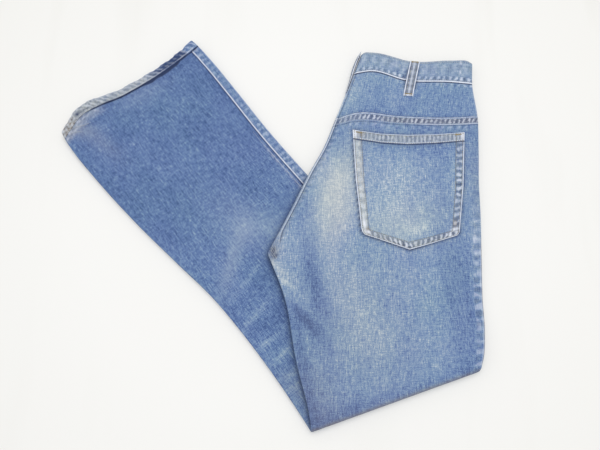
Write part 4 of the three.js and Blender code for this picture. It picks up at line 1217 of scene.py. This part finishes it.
class NodeChain:
    """Adds shader nodes and joins them, so that a material reads as a list of steps."""

    def __init__(self, name):
        self.material = bpy.data.materials.new(name)
        self.material.use_nodes = True
        self.tree = self.material.node_tree
        self.surface = self.tree.nodes["Principled BSDF"]
        self.column = 0

    def add(self, kind, inputs=None, **settings):
        node = self.tree.nodes.new(kind)
        self.column += 1
        node.location = (-220 * (self.column % 9) - 300, 260 * (self.column // 9) - 600)
        for label, value in settings.items():
            setattr(node, label, value)
        for label, value in (inputs or {}).items():
            self.feed(node.inputs[label], value)
        return node

    def feed(self, socket, value):
        if isinstance(value, bpy.types.NodeSocket):
            self.tree.links.new(value, socket)
        else:
            socket.default_value = value

    def math(self, operation, first, second=0.0, third=0.0, clamp=False):
        node = self.add("ShaderNodeMath", {0: first, 1: second, 2: third}, operation=operation, use_clamp=clamp)
        return node.outputs[0]

    def attribute(self, name):
        return self.add("ShaderNodeAttribute", attribute_name=name).outputs["Fac"]

    def noise(self, vector, across, along, detail, rough=0.5):
        place = self.add("ShaderNodeMapping", {"Vector": vector, "Scale": (across, along, 1.0)})
        inputs = {"Vector": place.outputs[0], "Scale": 1.0, "Detail": detail, "Roughness": rough}
        return self.add("ShaderNodeTexNoise", inputs).outputs["Fac"]

    def mix(self, share, first, second, blend="MIX"):
        node = self.add("ShaderNodeMix", data_type="RGBA", blend_type=blend)
        self.feed(node.inputs[0], share)
        self.feed(node.inputs[6], first)
        self.feed(node.inputs[7], second)
        return node.outputs[2]


def linear(red, green, blue):
    """A colour from display values out of 255."""
    values = []
    for value in (red, green, blue):
        share = value / 255
        values.append(share / 12.92 if share <= 0.04045 else ((share + 0.055) / 1.055) ** 2.4)
    return (*values, 1.0)


WASH_STOPS = (
    ("indigo", 0.0, (66, 88, 134)),
    ("blue", 0.25, (93, 118, 164)),
    ("middle", 0.5, (120, 145, 178)),
    ("pale", 0.75, (149, 168, 187)),
    ("rubbed", 1.0, (195, 204, 209)),
)
# Noise that makes the weave: scales across and along the warp, detail, strength
WEAVE = (
    ("slub", 650, 120, 2, 1.1),
    ("long_slub", 420, 26, 2, 0.45),
    ("weft", 120, 650, 2, 0.8),
    ("long_weft", 30, 420, 2, 0.2),
    ("grain", 950, 950, 1, 1.1),
    ("mottle", 105, 85, 3, 0.1),
    ("cloud", 26, 22, 4, 0.26),
    ("streak", 75, 11, 2, 0.2),
)
CREAM = linear(200, 200, 190)
BLEACHED = linear(224, 229, 240)
DEEP_SHADE = linear(48, 60, 92)
# A brownish grey for soil, also used for the painted shade on the fold's edge.
SOIL_AND_SHADE = linear(132, 122, 112)


def denim(name, contrast):
    """Washed denim: slubs along the warp, a fainter weft, clouds, seam puckers, wear, soil and painted shade."""
    chain = NodeChain(name)
    uv = chain.add("ShaderNodeUVMap", uv_map="garment").outputs[0]
    tone = chain.attribute("wash")
    weave = {}
    for label, across, along, detail, amount in WEAVE:
        weave[label] = chain.noise(uv, across, along, detail, 0.6)
        centred = chain.math("SUBTRACT", weave[label], 0.5)
        tone = chain.math("MULTIPLY_ADD", centred, amount * contrast, tone)
    ramp = chain.add("ShaderNodeValToRGB", {"Fac": tone})
    ramp.color_ramp.interpolation = "EASE"
    elements = ramp.color_ramp.elements
    while len(elements) < len(WASH_STOPS):
        elements.new(0.5)
    for element, (_, place, colour) in zip(elements, WASH_STOPS):
        element.position = place
        element.color = linear(*colour)
    tint = chain.noise(uv, 15, 10, 2)
    violet = chain.math("MULTIPLY_ADD", tint, 4.0, -2.0, clamp=True)
    colour = chain.mix(violet, ramp.outputs[0], (1.02, 0.98, 1.01, 1), "MULTIPLY")
    green = chain.math("MULTIPLY_ADD", tint, -4.0, 2.0, clamp=True)
    colour = chain.mix(green, colour, (0.97, 1.01, 0.96, 1), "MULTIPLY")
    rough_spots = chain.math("MULTIPLY_ADD", weave["mottle"], 0.8, 0.6)
    fibres = chain.math("MULTIPLY_ADD", weave["slub"], 1.1, 0.45)
    cream = chain.math("MULTIPLY", chain.attribute("cream"), 0.55, clamp=True)
    colour = chain.mix(cream, colour, CREAM)
    # Soil, and the painted shade along the fold's edge, both in a brownish grey.
    soil = chain.math("MULTIPLY", chain.attribute("soil"), rough_spots, clamp=True)
    colour = chain.mix(soil, colour, SOIL_AND_SHADE)

    seam = chain.add("ShaderNodeUVMap", uv_map="seam").outputs[0]
    waves = chain.add(
        "ShaderNodeTexWave",
        {
            "Vector": seam, "Scale": 0.1 * math.pi / (PUCKER_PITCH * MM), "Distortion": 3.6, "Detail": 2.0,
            "Detail Scale": 2.2, "Detail Roughness": 0.6,
        },
        wave_type="BANDS",
        bands_direction="X",
    ).outputs["Fac"]
    lumps = chain.noise(seam, 170, 230, 2)
    waves = chain.math("MULTIPLY_ADD", chain.math("SUBTRACT", lumps, 0.5), 2.4, waves)
    patches = chain.math("MULTIPLY_ADD", chain.noise(seam, 24, 40, 1), 2.6, -0.5, clamp=True)
    strength = chain.math("MULTIPLY", chain.attribute("pucker"), patches)
    raised = chain.math("MULTIPLY", chain.math("MULTIPLY_ADD", waves, 2.4, -1.3, clamp=True), strength)
    sunk = chain.math("MULTIPLY", chain.math("MULTIPLY_ADD", waves, -2.4, 1.1, clamp=True), strength)
    colour = chain.mix(chain.math("MULTIPLY", raised, 0.6, clamp=True), colour, BLEACHED)
    colour = chain.mix(chain.math("MULTIPLY", sunk, 0.62, clamp=True), colour, DEEP_SHADE)

    bleach = chain.math("MULTIPLY", chain.attribute("bleach"), fibres, clamp=True)
    colour = chain.mix(bleach, colour, BLEACHED)
    shade = chain.math("MULTIPLY", chain.attribute("shade"), rough_spots, clamp=True)
    colour = chain.mix(shade, colour, DEEP_SHADE)
    surface = chain.surface
    chain.feed(surface.inputs["Base Color"], colour)
    surface.inputs["Roughness"].default_value = 0.88
    surface.inputs["Specular IOR Level"].default_value = 0.18
    surface.inputs["Sheen Weight"].default_value = 0.12
    surface.inputs["Sheen Roughness"].default_value = 0.45
    surface.inputs["Sheen Tint"].default_value = linear(205, 214, 232)
    diagonal = chain.add("ShaderNodeMapping", {"Vector": uv, "Rotation": (0, 0, math.radians(27))})
    twill = chain.add(
        "ShaderNodeTexWave",
        {"Vector": diagonal.outputs[0], "Scale": 340.0, "Distortion": 1.4, "Detail": 1.0, "Detail Scale": 2.0},
        wave_type="BANDS",
        bands_direction="X",
    )
    relief = chain.math("MULTIPLY_ADD", twill.outputs["Fac"], 0.25, weave["slub"])
    relief = chain.math("MULTIPLY_ADD", weave["weft"], 0.7, relief)
    relief = chain.math("MULTIPLY_ADD", weave["grain"], 0.5, relief)
    relief = chain.math("MULTIPLY_ADD", waves, chain.math("MULTIPLY", strength, 0.8), relief)
    bump = chain.add("ShaderNodeBump", {"Strength": 0.4, "Distance": 0.0007, "Height": relief})
    chain.feed(surface.inputs["Normal"], bump.outputs[0])
    return chain.material


def thread(name, colour, dark):
    """Spun sewing thread that has faded unevenly."""
    chain = NodeChain(name)
    place = chain.add("ShaderNodeTexCoord").outputs["Object"]
    patches = chain.add("ShaderNodeTexNoise", {"Vector": place, "Scale": 95.0, "Detail": 2.0}).outputs["Fac"]
    chain.feed(chain.surface.inputs["Base Color"], chain.mix(patches, linear(*dark), linear(*colour)))
    chain.surface.inputs["Roughness"].default_value = 0.7
    chain.surface.inputs["Sheen Weight"].default_value = 0.2
    ply = chain.add("ShaderNodeTexNoise", {"Vector": place, "Scale": 2600.0, "Detail": 1.0}).outputs["Fac"]
    bump = chain.add("ShaderNodeBump", {"Strength": 0.4, "Distance": 0.0002, "Height": ply})
    chain.feed(chain.surface.inputs["Normal"], bump.outputs[0])
    return chain.material


def kept_material(name, make, *values):
    found = bpy.data.materials.get(name)
    return found or make(name, *values)


def cloth_material(kind):
    contrast = bpy.context.scene.jeans_cloth.contrast
    share = {"denim": 1.0, "pocket_denim": 1.05, "band_denim": 0.9, "hem_denim": 1.1}[kind]
    return kept_material(f"washed_{kind}", denim, contrast * share)


def stitch_tree(material):
    """Stitches laid end to end along each edge line of a mesh."""
    tree = bpy.data.node_groups.new("stitches", "GeometryNodeTree")
    face = tree.interface
    face.new_socket("Geometry", in_out="INPUT", socket_type="NodeSocketGeometry")
    for label, value in (("Pitch", 0.0032), ("Stitch Length", 0.0024), ("Thread Width", 0.0007), ("Flatness", 0.7)):
        socket = face.new_socket(label, in_out="INPUT", socket_type="NodeSocketFloat")
        socket.default_value = value
    socket = face.new_socket("Turn", in_out="INPUT", socket_type="NodeSocketFloat")
    socket.default_value = 0.0
    seed = face.new_socket("Seed", in_out="INPUT", socket_type="NodeSocketInt")
    seed.default_value = 4
    face.new_socket("Geometry", in_out="OUTPUT", socket_type="NodeSocketGeometry")
    nodes = tree.nodes
    links = tree.links
    start = nodes.new("NodeGroupInput")
    end = nodes.new("NodeGroupOutput")
    to_curve = nodes.new("GeometryNodeMeshToCurve")
    links.new(start.outputs["Geometry"], to_curve.inputs["Mesh"])
    resample = nodes.new("GeometryNodeResampleCurve")
    resample.mode = "LENGTH"
    links.new(to_curve.outputs[0], resample.inputs["Curve"])
    links.new(start.outputs["Pitch"], resample.inputs["Length"])
    tangent = nodes.new("GeometryNodeInputTangent")
    align = nodes.new("FunctionNodeAlignRotationToVector")
    align.axis = "X"
    links.new(tangent.outputs[0], align.inputs["Vector"])
    jitter = nodes.new("FunctionNodeRandomValue")
    jitter.data_type = "FLOAT_VECTOR"
    jitter.inputs[0].default_value = (-0.03, -0.03, -0.1)
    jitter.inputs[1].default_value = (0.03, 0.03, 0.1)
    links.new(start.outputs["Seed"], jitter.inputs["Seed"])
    turn_vector = nodes.new("ShaderNodeCombineXYZ")
    links.new(start.outputs["Turn"], turn_vector.inputs["Z"])
    sum_vector = nodes.new("ShaderNodeVectorMath")
    links.new(jitter.outputs[0], sum_vector.inputs[0])
    links.new(turn_vector.outputs[0], sum_vector.inputs[1])
    turn = nodes.new("FunctionNodeRotateRotation")
    turn.rotation_space = "LOCAL"
    links.new(align.outputs[0], turn.inputs["Rotation"])
    to_rotation = nodes.new("FunctionNodeEulerToRotation")
    links.new(sum_vector.outputs[0], to_rotation.inputs[0])
    links.new(to_rotation.outputs[0], turn.inputs["Rotate By"])
    bead = nodes.new("GeometryNodeMeshIcoSphere")
    bead.inputs["Radius"].default_value = 0.5
    bead.inputs["Subdivisions"].default_value = 1
    thickness = nodes.new("ShaderNodeMath")
    thickness.operation = "MULTIPLY"
    links.new(start.outputs["Thread Width"], thickness.inputs[0])
    links.new(start.outputs["Flatness"], thickness.inputs[1])
    size = nodes.new("ShaderNodeCombineXYZ")
    links.new(start.outputs["Stitch Length"], size.inputs["X"])
    links.new(start.outputs["Thread Width"], size.inputs["Y"])
    links.new(thickness.outputs[0], size.inputs["Z"])
    instance = nodes.new("GeometryNodeInstanceOnPoints")
    links.new(resample.outputs[0], instance.inputs["Points"])
    links.new(bead.outputs[0], instance.inputs["Instance"])
    links.new(turn.outputs[0], instance.inputs["Rotation"])
    links.new(size.outputs[0], instance.inputs["Scale"])
    realize = nodes.new("GeometryNodeRealizeInstances")
    links.new(instance.outputs[0], realize.inputs[0])
    smooth_faces = nodes.new("GeometryNodeSetShadeSmooth")
    links.new(realize.outputs[0], smooth_faces.inputs[0])
    paint = nodes.new("GeometryNodeSetMaterial")
    paint.inputs["Material"].default_value = material
    links.new(smooth_faces.outputs[0], paint.inputs["Geometry"])
    links.new(paint.outputs[0], end.inputs[0])
    return tree


def stitched(name, lines, material, inputs):
    """A plain mesh of stitches along polylines given in millimetres."""
    mesh = bpy.data.meshes.new(name + "_lines")
    points = []
    edges = []
    for line in lines:
        first = len(points)
        for point in line:
            points.append(tuple((np.array(point) - [*PLAN_CENTRE, 0]) * MM))
        edges += [(first + k, first + k + 1) for k in range(len(line) - 1)]
    mesh.from_pydata(points, edges, [])
    source = bpy.data.objects.new(name + "_lines", mesh)
    bpy.context.scene.collection.objects.link(source)
    modifier = source.modifiers.new("stitches", "NODES")
    tree = stitch_tree(material)
    modifier.node_group = tree
    sockets = {item.name: item.identifier for item in tree.interface.items_tree if item.in_out == "INPUT"}
    for label, value in inputs.items():
        modifier[sockets[label]] = value
    graph = bpy.context.evaluated_depsgraph_get()
    result = bpy.data.meshes.new_from_object(source.evaluated_get(graph))
    result.name = name
    piece = bpy.data.objects.new(name, result)
    bpy.context.scene.collection.objects.link(piece)
    bpy.data.objects.remove(source)
    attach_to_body(piece, "root")
    return piece


def sampled(side, places, insets, out):
    """A stitch line on a back layer, from arrays of section positions and insets."""
    places, insets = np.broadcast_arrays(places, insets)
    return layer_point(side, np.array(places), np.array(insets), out)


def seam_lines(side):
    """The topstitching of one side: seat seam, yoke and outseam, with a second row along part of the outseam."""
    lines = []
    seat = np.linspace(ROW["yoke_seam"] + 0.03, ROW["crotch"] - 0.06, 90)
    lines.append(sampled(side, seat, 3.9, 0.55))
    for place in (shifted("yoke_seam", 2), shifted("yoke_seam", FELL_WIDTH - 1.8)):
        width = float(width_at(place))
        lines.append(sampled(side, place, np.linspace(3.5, width - 2.5, 90), FELL_RISE + 0.12))
    seam = np.linspace(ROW["fold_end"] + 0.1, shifted("hem_seam", -1), 260)
    lines.append(sampled(side, seam, width_at(seam) - OUTSEAM_BAND + 0.9, 0.5))
    double = np.linspace(ROW["knee_low"] - 1.2, ROW["flare_high"] + 0.15, 90)
    lines.append(sampled(side, double, width_at(double) - OUTSEAM_BAND - 5.6, 0.12))
    return [line[line[:, 2] > 0.15] for line in lines]


def pocket_lines(side):
    shares = np.linspace(0, 1, 60)
    rows = []
    for gap in (2.2, POCKET_BAND):
        u = gap / 146
        v = gap / 165
        left = np.stack([np.full(60, u), lerp(0.01, 1 - v, shares)], 1)
        low = np.stack([lerp(u, 1 - u, shares[1:]), np.full(59, 1 - v)], 1)
        right = np.stack([np.full(59, 1 - u), lerp(1 - v, 0.01, shares[1:])], 1)
        rows.append(np.concatenate([left, low, right]))
    for gap in (2.6, 13.2):
        rows.append(np.stack([lerp(0.015, 0.985, shares), np.full(60, gap / 165)], 1))
    lines = []
    for row in rows:
        plan = pocket_plan(row[:, 0], row[:, 1])
        at, _ = section_position(plan[:, 0], plan[:, 1])
        stack = stack_at(at) + stack_relief(plan[:, 0], plan[:, 1])
        hem_lift = 0.33 * (row[:, 1] * 165 < 14)
        out = SEAM_GAP + (1.27 + hem_lift if side == "right" else 0.93)
        height = stack + out if side == "right" else -out
        lines.append(fold_into_place(plan[:, 0], plan[:, 1], height, stack))
    return lines


def band_lines():
    lines = []
    for distance in (3.6, 36.2):
        at = distance / np.linalg.norm(INNER[1] - INNER[0])
        width = float(width_at(at))
        insets = np.linspace(6, width - 4, 80)
        x, y = plan_point(np.full(80, at), insets)
        lines.append(np.stack([x, y, np.full(80, BAND_LIFT + STACKS[0] + 0.02)], -1))
        lines.append(np.stack([x, y, np.full(80, BAND_LIFT - 0.02)], -1))
    return lines


def hem_lines():
    at = shifted("hem_edge", -11)
    width = float(width_at(at))
    x, y = plan_point(np.full(120, at), np.linspace(4, width - 4, 120))
    stack = STACKS[ROW["hem_edge"]]
    return [fold_into_place(x, y, height, stack) for height in (-0.16, stack - 0.25)]


def loop_lines():
    at, arch = smooth_rows(LOOP_STATIONS, 1, 44)
    width = width_at(at)
    lines = []
    for offset in (-3.6, 3.6):
        x, y = plan_point(at, width * LOOP_SHARE + offset)
        under = lerp(BAND_LIFT + STACKS[0], rest_height(x, y) + stack_at(at), smooth((at - 0.96) / 0.1))
        z = under + SEAM_GAP + LOOP_ARCH * np.maximum(arch, 0) + 1.16
        lines.append(np.stack([x, y, z], -1))
    return lines


def tack_lines():
    """Short rows for bar tacks at the pocket's corners and the ends of the belt loop."""
    lines = []
    for u, v, run in ((0.03, 0.02, 0.055), (0.97, 0.02, -0.055)):
        shares = np.stack([np.linspace(u, u + run, 8), np.full(8, v)], 1)
        plan = pocket_plan(shares[:, 0], shares[:, 1])
        at, _ = section_position(plan[:, 0], plan[:, 1])
        stack = stack_at(at) + stack_relief(plan[:, 0], plan[:, 1])
        lines.append(fold_into_place(plan[:, 0], plan[:, 1], stack + SEAM_GAP + 1.6, stack))
    for at in (0.06, 1.37):
        width = float(width_at(at))
        x, y = plan_point(np.full(8, at), np.linspace(-5.2, 5.2, 8) + width * LOOP_SHARE)
        base = BAND_LIFT + STACKS[0] if at < 1 else rest_height(x, y) + stack_at(at)
        lines.append(np.stack([x, y, np.broadcast_to(base + SEAM_GAP + 1.25, x.shape)], -1))
    return lines


def frayed_threads(material):
    """Loose threads across the rubbed hole at the crotch and at the hem's worn corner."""
    turns = np.linspace(0, 2 * math.pi, 6)[:-1]
    points = []
    faces = []
    for side, radius, places in LOOSE_THREADS:
        knots = np.array(places, float)
        share = np.linspace(0, len(knots) - 1, 9 * len(knots))
        numbers = np.arange(len(knots))
        x = curve(numbers, knots[:, 0], share)
        y = curve(numbers, knots[:, 1], share)
        lift = curve(numbers, knots[:, 2], share)
        at, inset = section_position(x, y)
        line = layer_point(side, at, inset, lift + radius)
        step = np.gradient(line, axis=0)
        step = step / np.linalg.norm(step, axis=1)[:, None]
        sideways = np.cross(step, [0, 0, 1])
        sideways = sideways / np.linalg.norm(sideways, axis=1)[:, None]
        upward = np.cross(sideways, step)
        ends = np.clip(np.minimum(share, share[-1] - share) * 3, 0.35, 1)[:, None, None]
        rim = np.cos(turns)[None, :, None] * sideways[:, None, :] + np.sin(turns)[None, :, None] * upward[:, None, :]
        ring = line[:, None, :] + radius * ends * rim
        first = len(points)
        points += [tuple((point - [*PLAN_CENTRE, 0]) * MM) for point in ring.reshape(-1, 3)]
        count = len(share)
        for row in range(count - 1):
            for k in range(5):
                low = first + row * 5
                faces.append((low + k, low + (k + 1) % 5, low + 5 + (k + 1) % 5, low + 5 + k))
        faces.append([first + k for k in range(4, -1, -1)])
        faces.append([first + (count - 1) * 5 + k for k in range(5)])
    mesh = bpy.data.meshes.new("frayed_threads")
    mesh.from_pydata(points, [], faces)
    mesh.polygons.foreach_set("use_smooth", np.ones(len(mesh.polygons), bool))
    mesh.materials.append(material)
    work = bmesh.new()
    work.from_mesh(mesh)
    bmesh.ops.recalc_face_normals(work, faces=work.faces)
    work.to_mesh(mesh)
    work.free()
    piece = bpy.data.objects.new("frayed_threads", mesh)
    bpy.context.scene.collection.objects.link(piece)
    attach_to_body(piece, "root")
    return piece


class ClothSettings(bpy.types.PropertyGroup):
    """Sizes of the cloth and how finely it is meshed."""

    wall: FloatProperty(name="Cloth thickness", description="Wall of one layer, in millimetres", default=1.0)
    grid: FloatProperty(name="Grid", description="Row spacing where the cloth shows, in millimetres", default=2.4)
    hidden_grid: FloatProperty(name="Hidden grid", description="Row spacing underneath, in millimetres", default=7.0)
    columns: IntProperty(name="Columns", description="Columns between the edge strips", default=60)
    crease: FloatProperty(name="Creases", description="Strength of the small creases", default=1.0, subtype="FACTOR")
    contrast: FloatProperty(name="Weave contrast", description="Strength of slubs and clouds", default=1.0)


class StitchSettings(bpy.types.PropertyGroup):
    """Sizes and colours of the sewing thread."""

    pitch: FloatProperty(name="Pitch", description="Length of one stitch", default=0.0032, unit="LENGTH")
    length: FloatProperty(name="Visible length", description="Part that shows", default=0.0025, unit="LENGTH")
    width: FloatProperty(name="Thread width", description="Width of the thread", default=0.0007, unit="LENGTH")
    seed: IntProperty(name="Seed", description="Seed of the uneven stitches", default=4)


class StageSettings(bpy.types.PropertyGroup):
    """The floor, the lights and the camera."""

    floor: FloatVectorProperty(name="Floor", description="Floor colour", default=(0.67, 0.667, 0.653), subtype="COLOR")
    key: FloatProperty(name="Key light", description="Power of the large light", default=31.0, unit="POWER")
    fill: FloatProperty(name="Fill", description="Strength of the light from all round", default=0.77)
    distance: FloatProperty(name="Camera distance", description="From the target", default=0.8494, unit="LENGTH")
    tilt: FloatProperty(
        name="Camera tilt", description="From straight down", default=math.radians(18), subtype="ANGLE"
    )
    lens: FloatProperty(name="Lens", description="Focal length in millimetres", default=37.2)


class JEANS_OT_back_panels(bpy.types.Operator):
    """Make the backs of both legs"""

    bl_idname = "jeans.back_panels"
    bl_label = "Back Panels"

    def execute(self, context):
        for side in ("right", "left"):
            piece = back_panel(side, cloth_material("denim"))
            attach(piece, f"{side}_back_panel")
        return {"FINISHED"}


class JEANS_OT_fronts(bpy.types.Operator):
    """Make the hidden fronts, which share one layered body"""

    bl_idname = "jeans.fronts"
    bl_label = "Fronts"

    def execute(self, context):
        piece = front_cloth(cloth_material("denim"))
        attach(piece, "front_panels")
        return {"FINISHED"}


class JEANS_OT_yokes(bpy.types.Operator):
    """Make both back yokes"""

    bl_idname = "jeans.yokes"
    bl_label = "Yokes"

    def execute(self, context):
        for side in ("right", "left"):
            piece = yoke(side, cloth_material("denim"))
            attach(piece, f"{side}_yoke")
        return {"FINISHED"}


class JEANS_OT_pockets(bpy.types.Operator):
    """Make both back pockets"""

    bl_idname = "jeans.pockets"
    bl_label = "Back Pockets"

    def execute(self, context):
        for side in ("right", "left"):
            piece = back_pocket(side, cloth_material("pocket_denim"))
            attach(piece, f"{side}_back_pocket")
        return {"FINISHED"}


class JEANS_OT_waistband(bpy.types.Operator):
    """Make the waistband"""

    bl_idname = "jeans.waistband"
    bl_label = "Waistband"

    def execute(self, context):
        piece = waistband(cloth_material("band_denim"))
        attach(piece, "waistband")
        return {"FINISHED"}


class JEANS_OT_belt_loops(bpy.types.Operator):
    """Make the three belt loops at the back"""

    bl_idname = "jeans.belt_loops"
    bl_label = "Belt Loops"

    def execute(self, context):
        material = cloth_material("band_denim")
        pieces = [(middle_loop(side, material), f"{side}_back_belt_loop") for side in ("right", "left")]
        pieces.append((centre_loop(material), "centre_back_belt_loop"))
        for piece, node in pieces:
            attach(piece, node)
        return {"FINISHED"}


class JEANS_OT_leg_hems(bpy.types.Operator):
    """Make the turned hems of both legs"""

    bl_idname = "jeans.leg_hems"
    bl_label = "Leg Hems"

    def execute(self, context):
        for side in ("right", "left"):
            piece = leg_hem(side, cloth_material("hem_denim"))
            attach(piece, f"{side}_leg_hem")
        return {"FINISHED"}


class JEANS_OT_stitching(bpy.types.Operator):
    """Make the topstitching and the bar tacks"""

    bl_idname = "jeans.stitching"
    bl_label = "Stitching"

    def execute(self, context):
        settings = context.scene.jeans_stitches
        pale = kept_material("pale_thread", thread, (206, 208, 210), (140, 148, 162))
        gold = kept_material("gold_thread", thread, (170, 150, 104), (128, 122, 104))
        shared = {"Pitch": settings.pitch, "Stitch Length": settings.length, "Seed": settings.seed}
        shared["Thread Width"] = settings.width
        for side in ("right", "left"):
            stitched(f"{side}_seam_stitches", seam_lines(side), pale, shared)
            stitched(f"{side}_pocket_stitches", pocket_lines(side), gold, shared)
        stitched("band_stitches", band_lines(), pale, shared)
        stitched("hem_stitches", hem_lines(), pale, shared)
        stitched("loop_stitches", loop_lines(), gold, shared)
        tacks = dict(shared, Pitch=0.0006, Turn=math.pi / 2)
        stitched("bar_tacks", tack_lines(), gold, tacks)
        frayed_threads(pale)
        return {"FINISHED"}


class JEANS_OT_stage(bpy.types.Operator):
    """Make the floor, the lights and the camera"""

    bl_idname = "jeans.stage"
    bl_label = "Stage"

    def execute(self, context):
        settings = context.scene.jeans_stage
        scene = context.scene
        scene.view_settings.view_transform = "Standard"
        chain = NodeChain("floor")
        place = chain.add("ShaderNodeTexCoord").outputs["Object"]
        # Painted shade on the floor: darker away from the middle, more so along soft creases of the sheet, which is
        # flat.
        away = chain.add("ShaderNodeVectorMath", {"Vector": place}, operation="LENGTH").outputs["Value"]
        rim = chain.math("MULTIPLY_ADD", away, 2.4, -0.62, clamp=True)
        along = chain.add("ShaderNodeMapping", {"Vector": place, "Rotation": (0, 0, 0.15), "Scale": (11, 1.6, 1)})
        drape = chain.add("ShaderNodeTexNoise", {"Vector": along.outputs[0], "Scale": 1.0, "Detail": 3.0}).outputs["Fac"]
        creased = chain.math("MULTIPLY_ADD", drape, 4.0, -2.1, clamp=True)
        dim = chain.math("MULTIPLY", rim, chain.math("MULTIPLY_ADD", creased, 0.9, 0.45), clamp=True)
        lit = (*settings.floor, 1)
        shaded = tuple(value * share for value, share in zip(settings.floor, (0.88, 0.875, 0.85))) + (1,)
        colour = chain.mix(dim, lit, shaded)
        chain.feed(chain.surface.inputs["Base Color"], colour)
        # Painted light: the floor glows a little, so the shadows on it are lighter.
        chain.feed(chain.surface.inputs["Emission Color"], colour)
        chain.surface.inputs["Roughness"].default_value = 0.95
        chain.surface.inputs["Emission Strength"].default_value = 0.3
        chain.surface.inputs["Specular IOR Level"].default_value = 0.05
        mesh = bpy.data.meshes.new("floor")
        reach = 4.0
        corners = [(-reach, -reach), (reach, -reach), (reach, reach), (-reach, reach)]
        mesh.from_pydata([(x, y, -0.0003) for x, y in corners], [], [(0, 1, 2, 3)])
        mesh.materials.append(chain.material)
        floor = bpy.data.objects.new("floor", mesh)
        scene.collection.objects.link(floor)
        world = scene.world or bpy.data.worlds.new("studio")
        scene.world = world
        world.use_nodes = True
        background = world.node_tree.nodes["Background"]
        background.inputs["Color"].default_value = (1, 1, 1, 1)
        background.inputs["Strength"].default_value = settings.fill
        light = bpy.data.lights.new("key", "AREA")
        light.energy = settings.key
        light.shape = "DISK"
        light.size = 2.4
        lamp = bpy.data.objects.new("key", light)
        lamp.location = (0.3, 0.5, 2.6)
        lamp.rotation_euler = (-lamp.location).to_track_quat("-Z", "Y").to_euler()
        scene.collection.objects.link(lamp)
        target = Vector((0.04243, -0.0098, 0))
        data = bpy.data.cameras.new("camera")
        data.sensor_width = 36
        data.lens = settings.lens
        camera = bpy.data.objects.new("camera", data)
        back = Vector((0, -math.sin(settings.tilt), math.cos(settings.tilt)))
        camera.location = target + back * settings.distance
        camera.rotation_euler = (settings.tilt, 0, 0)
        scene.collection.objects.link(camera)
        scene.camera = camera
        return {"FINISHED"}


STEPS = (
    JEANS_OT_stage,
    JEANS_OT_back_panels,
    JEANS_OT_fronts,
    JEANS_OT_yokes,
    JEANS_OT_pockets,
    JEANS_OT_waistband,
    JEANS_OT_belt_loops,
    JEANS_OT_leg_hems,
    JEANS_OT_stitching,
)


class JEANS_PT_panel(bpy.types.Panel):
    """Settings and steps in the sidebar"""

    bl_label = "Flared Jeans"
    bl_idname = "JEANS_PT_panel"
    bl_space_type = "VIEW_3D"
    bl_region_type = "UI"
    bl_category = "Jeans"

    def draw(self, context):
        for group in ("jeans_cloth", "jeans_stitches", "jeans_stage"):
            settings = getattr(context.scene, group)
            box = self.layout.box()
            for label in settings.bl_rna.properties.keys():
                if label not in ("rna_type", "name"):
                    box.prop(settings, label)
        for step in STEPS:
            self.layout.operator(step.bl_idname)


CLASSES = (ClothSettings, StitchSettings, StageSettings, *STEPS, JEANS_PT_panel)


def register():
    for item in CLASSES:
        bpy.utils.register_class(item)
    bpy.types.Scene.jeans_cloth = PointerProperty(type=ClothSettings)
    bpy.types.Scene.jeans_stitches = PointerProperty(type=StitchSettings)
    bpy.types.Scene.jeans_stage = PointerProperty(type=StageSettings)


def unregister():
    del bpy.types.Scene.jeans_stage
    del bpy.types.Scene.jeans_stitches
    del bpy.types.Scene.jeans_cloth
    for item in reversed(CLASSES):
        bpy.utils.unregister_class(item)


def main():
    register()
    bpy.ops.jeans.stage()
    bpy.ops.jeans.back_panels()
    bpy.ops.jeans.fronts()
    bpy.ops.jeans.yokes()
    bpy.ops.jeans.pockets()
    bpy.ops.jeans.waistband()
    bpy.ops.jeans.belt_loops()
    bpy.ops.jeans.leg_hems()
    bpy.ops.jeans.stitching()


if __name__ == "__main__":
    main()
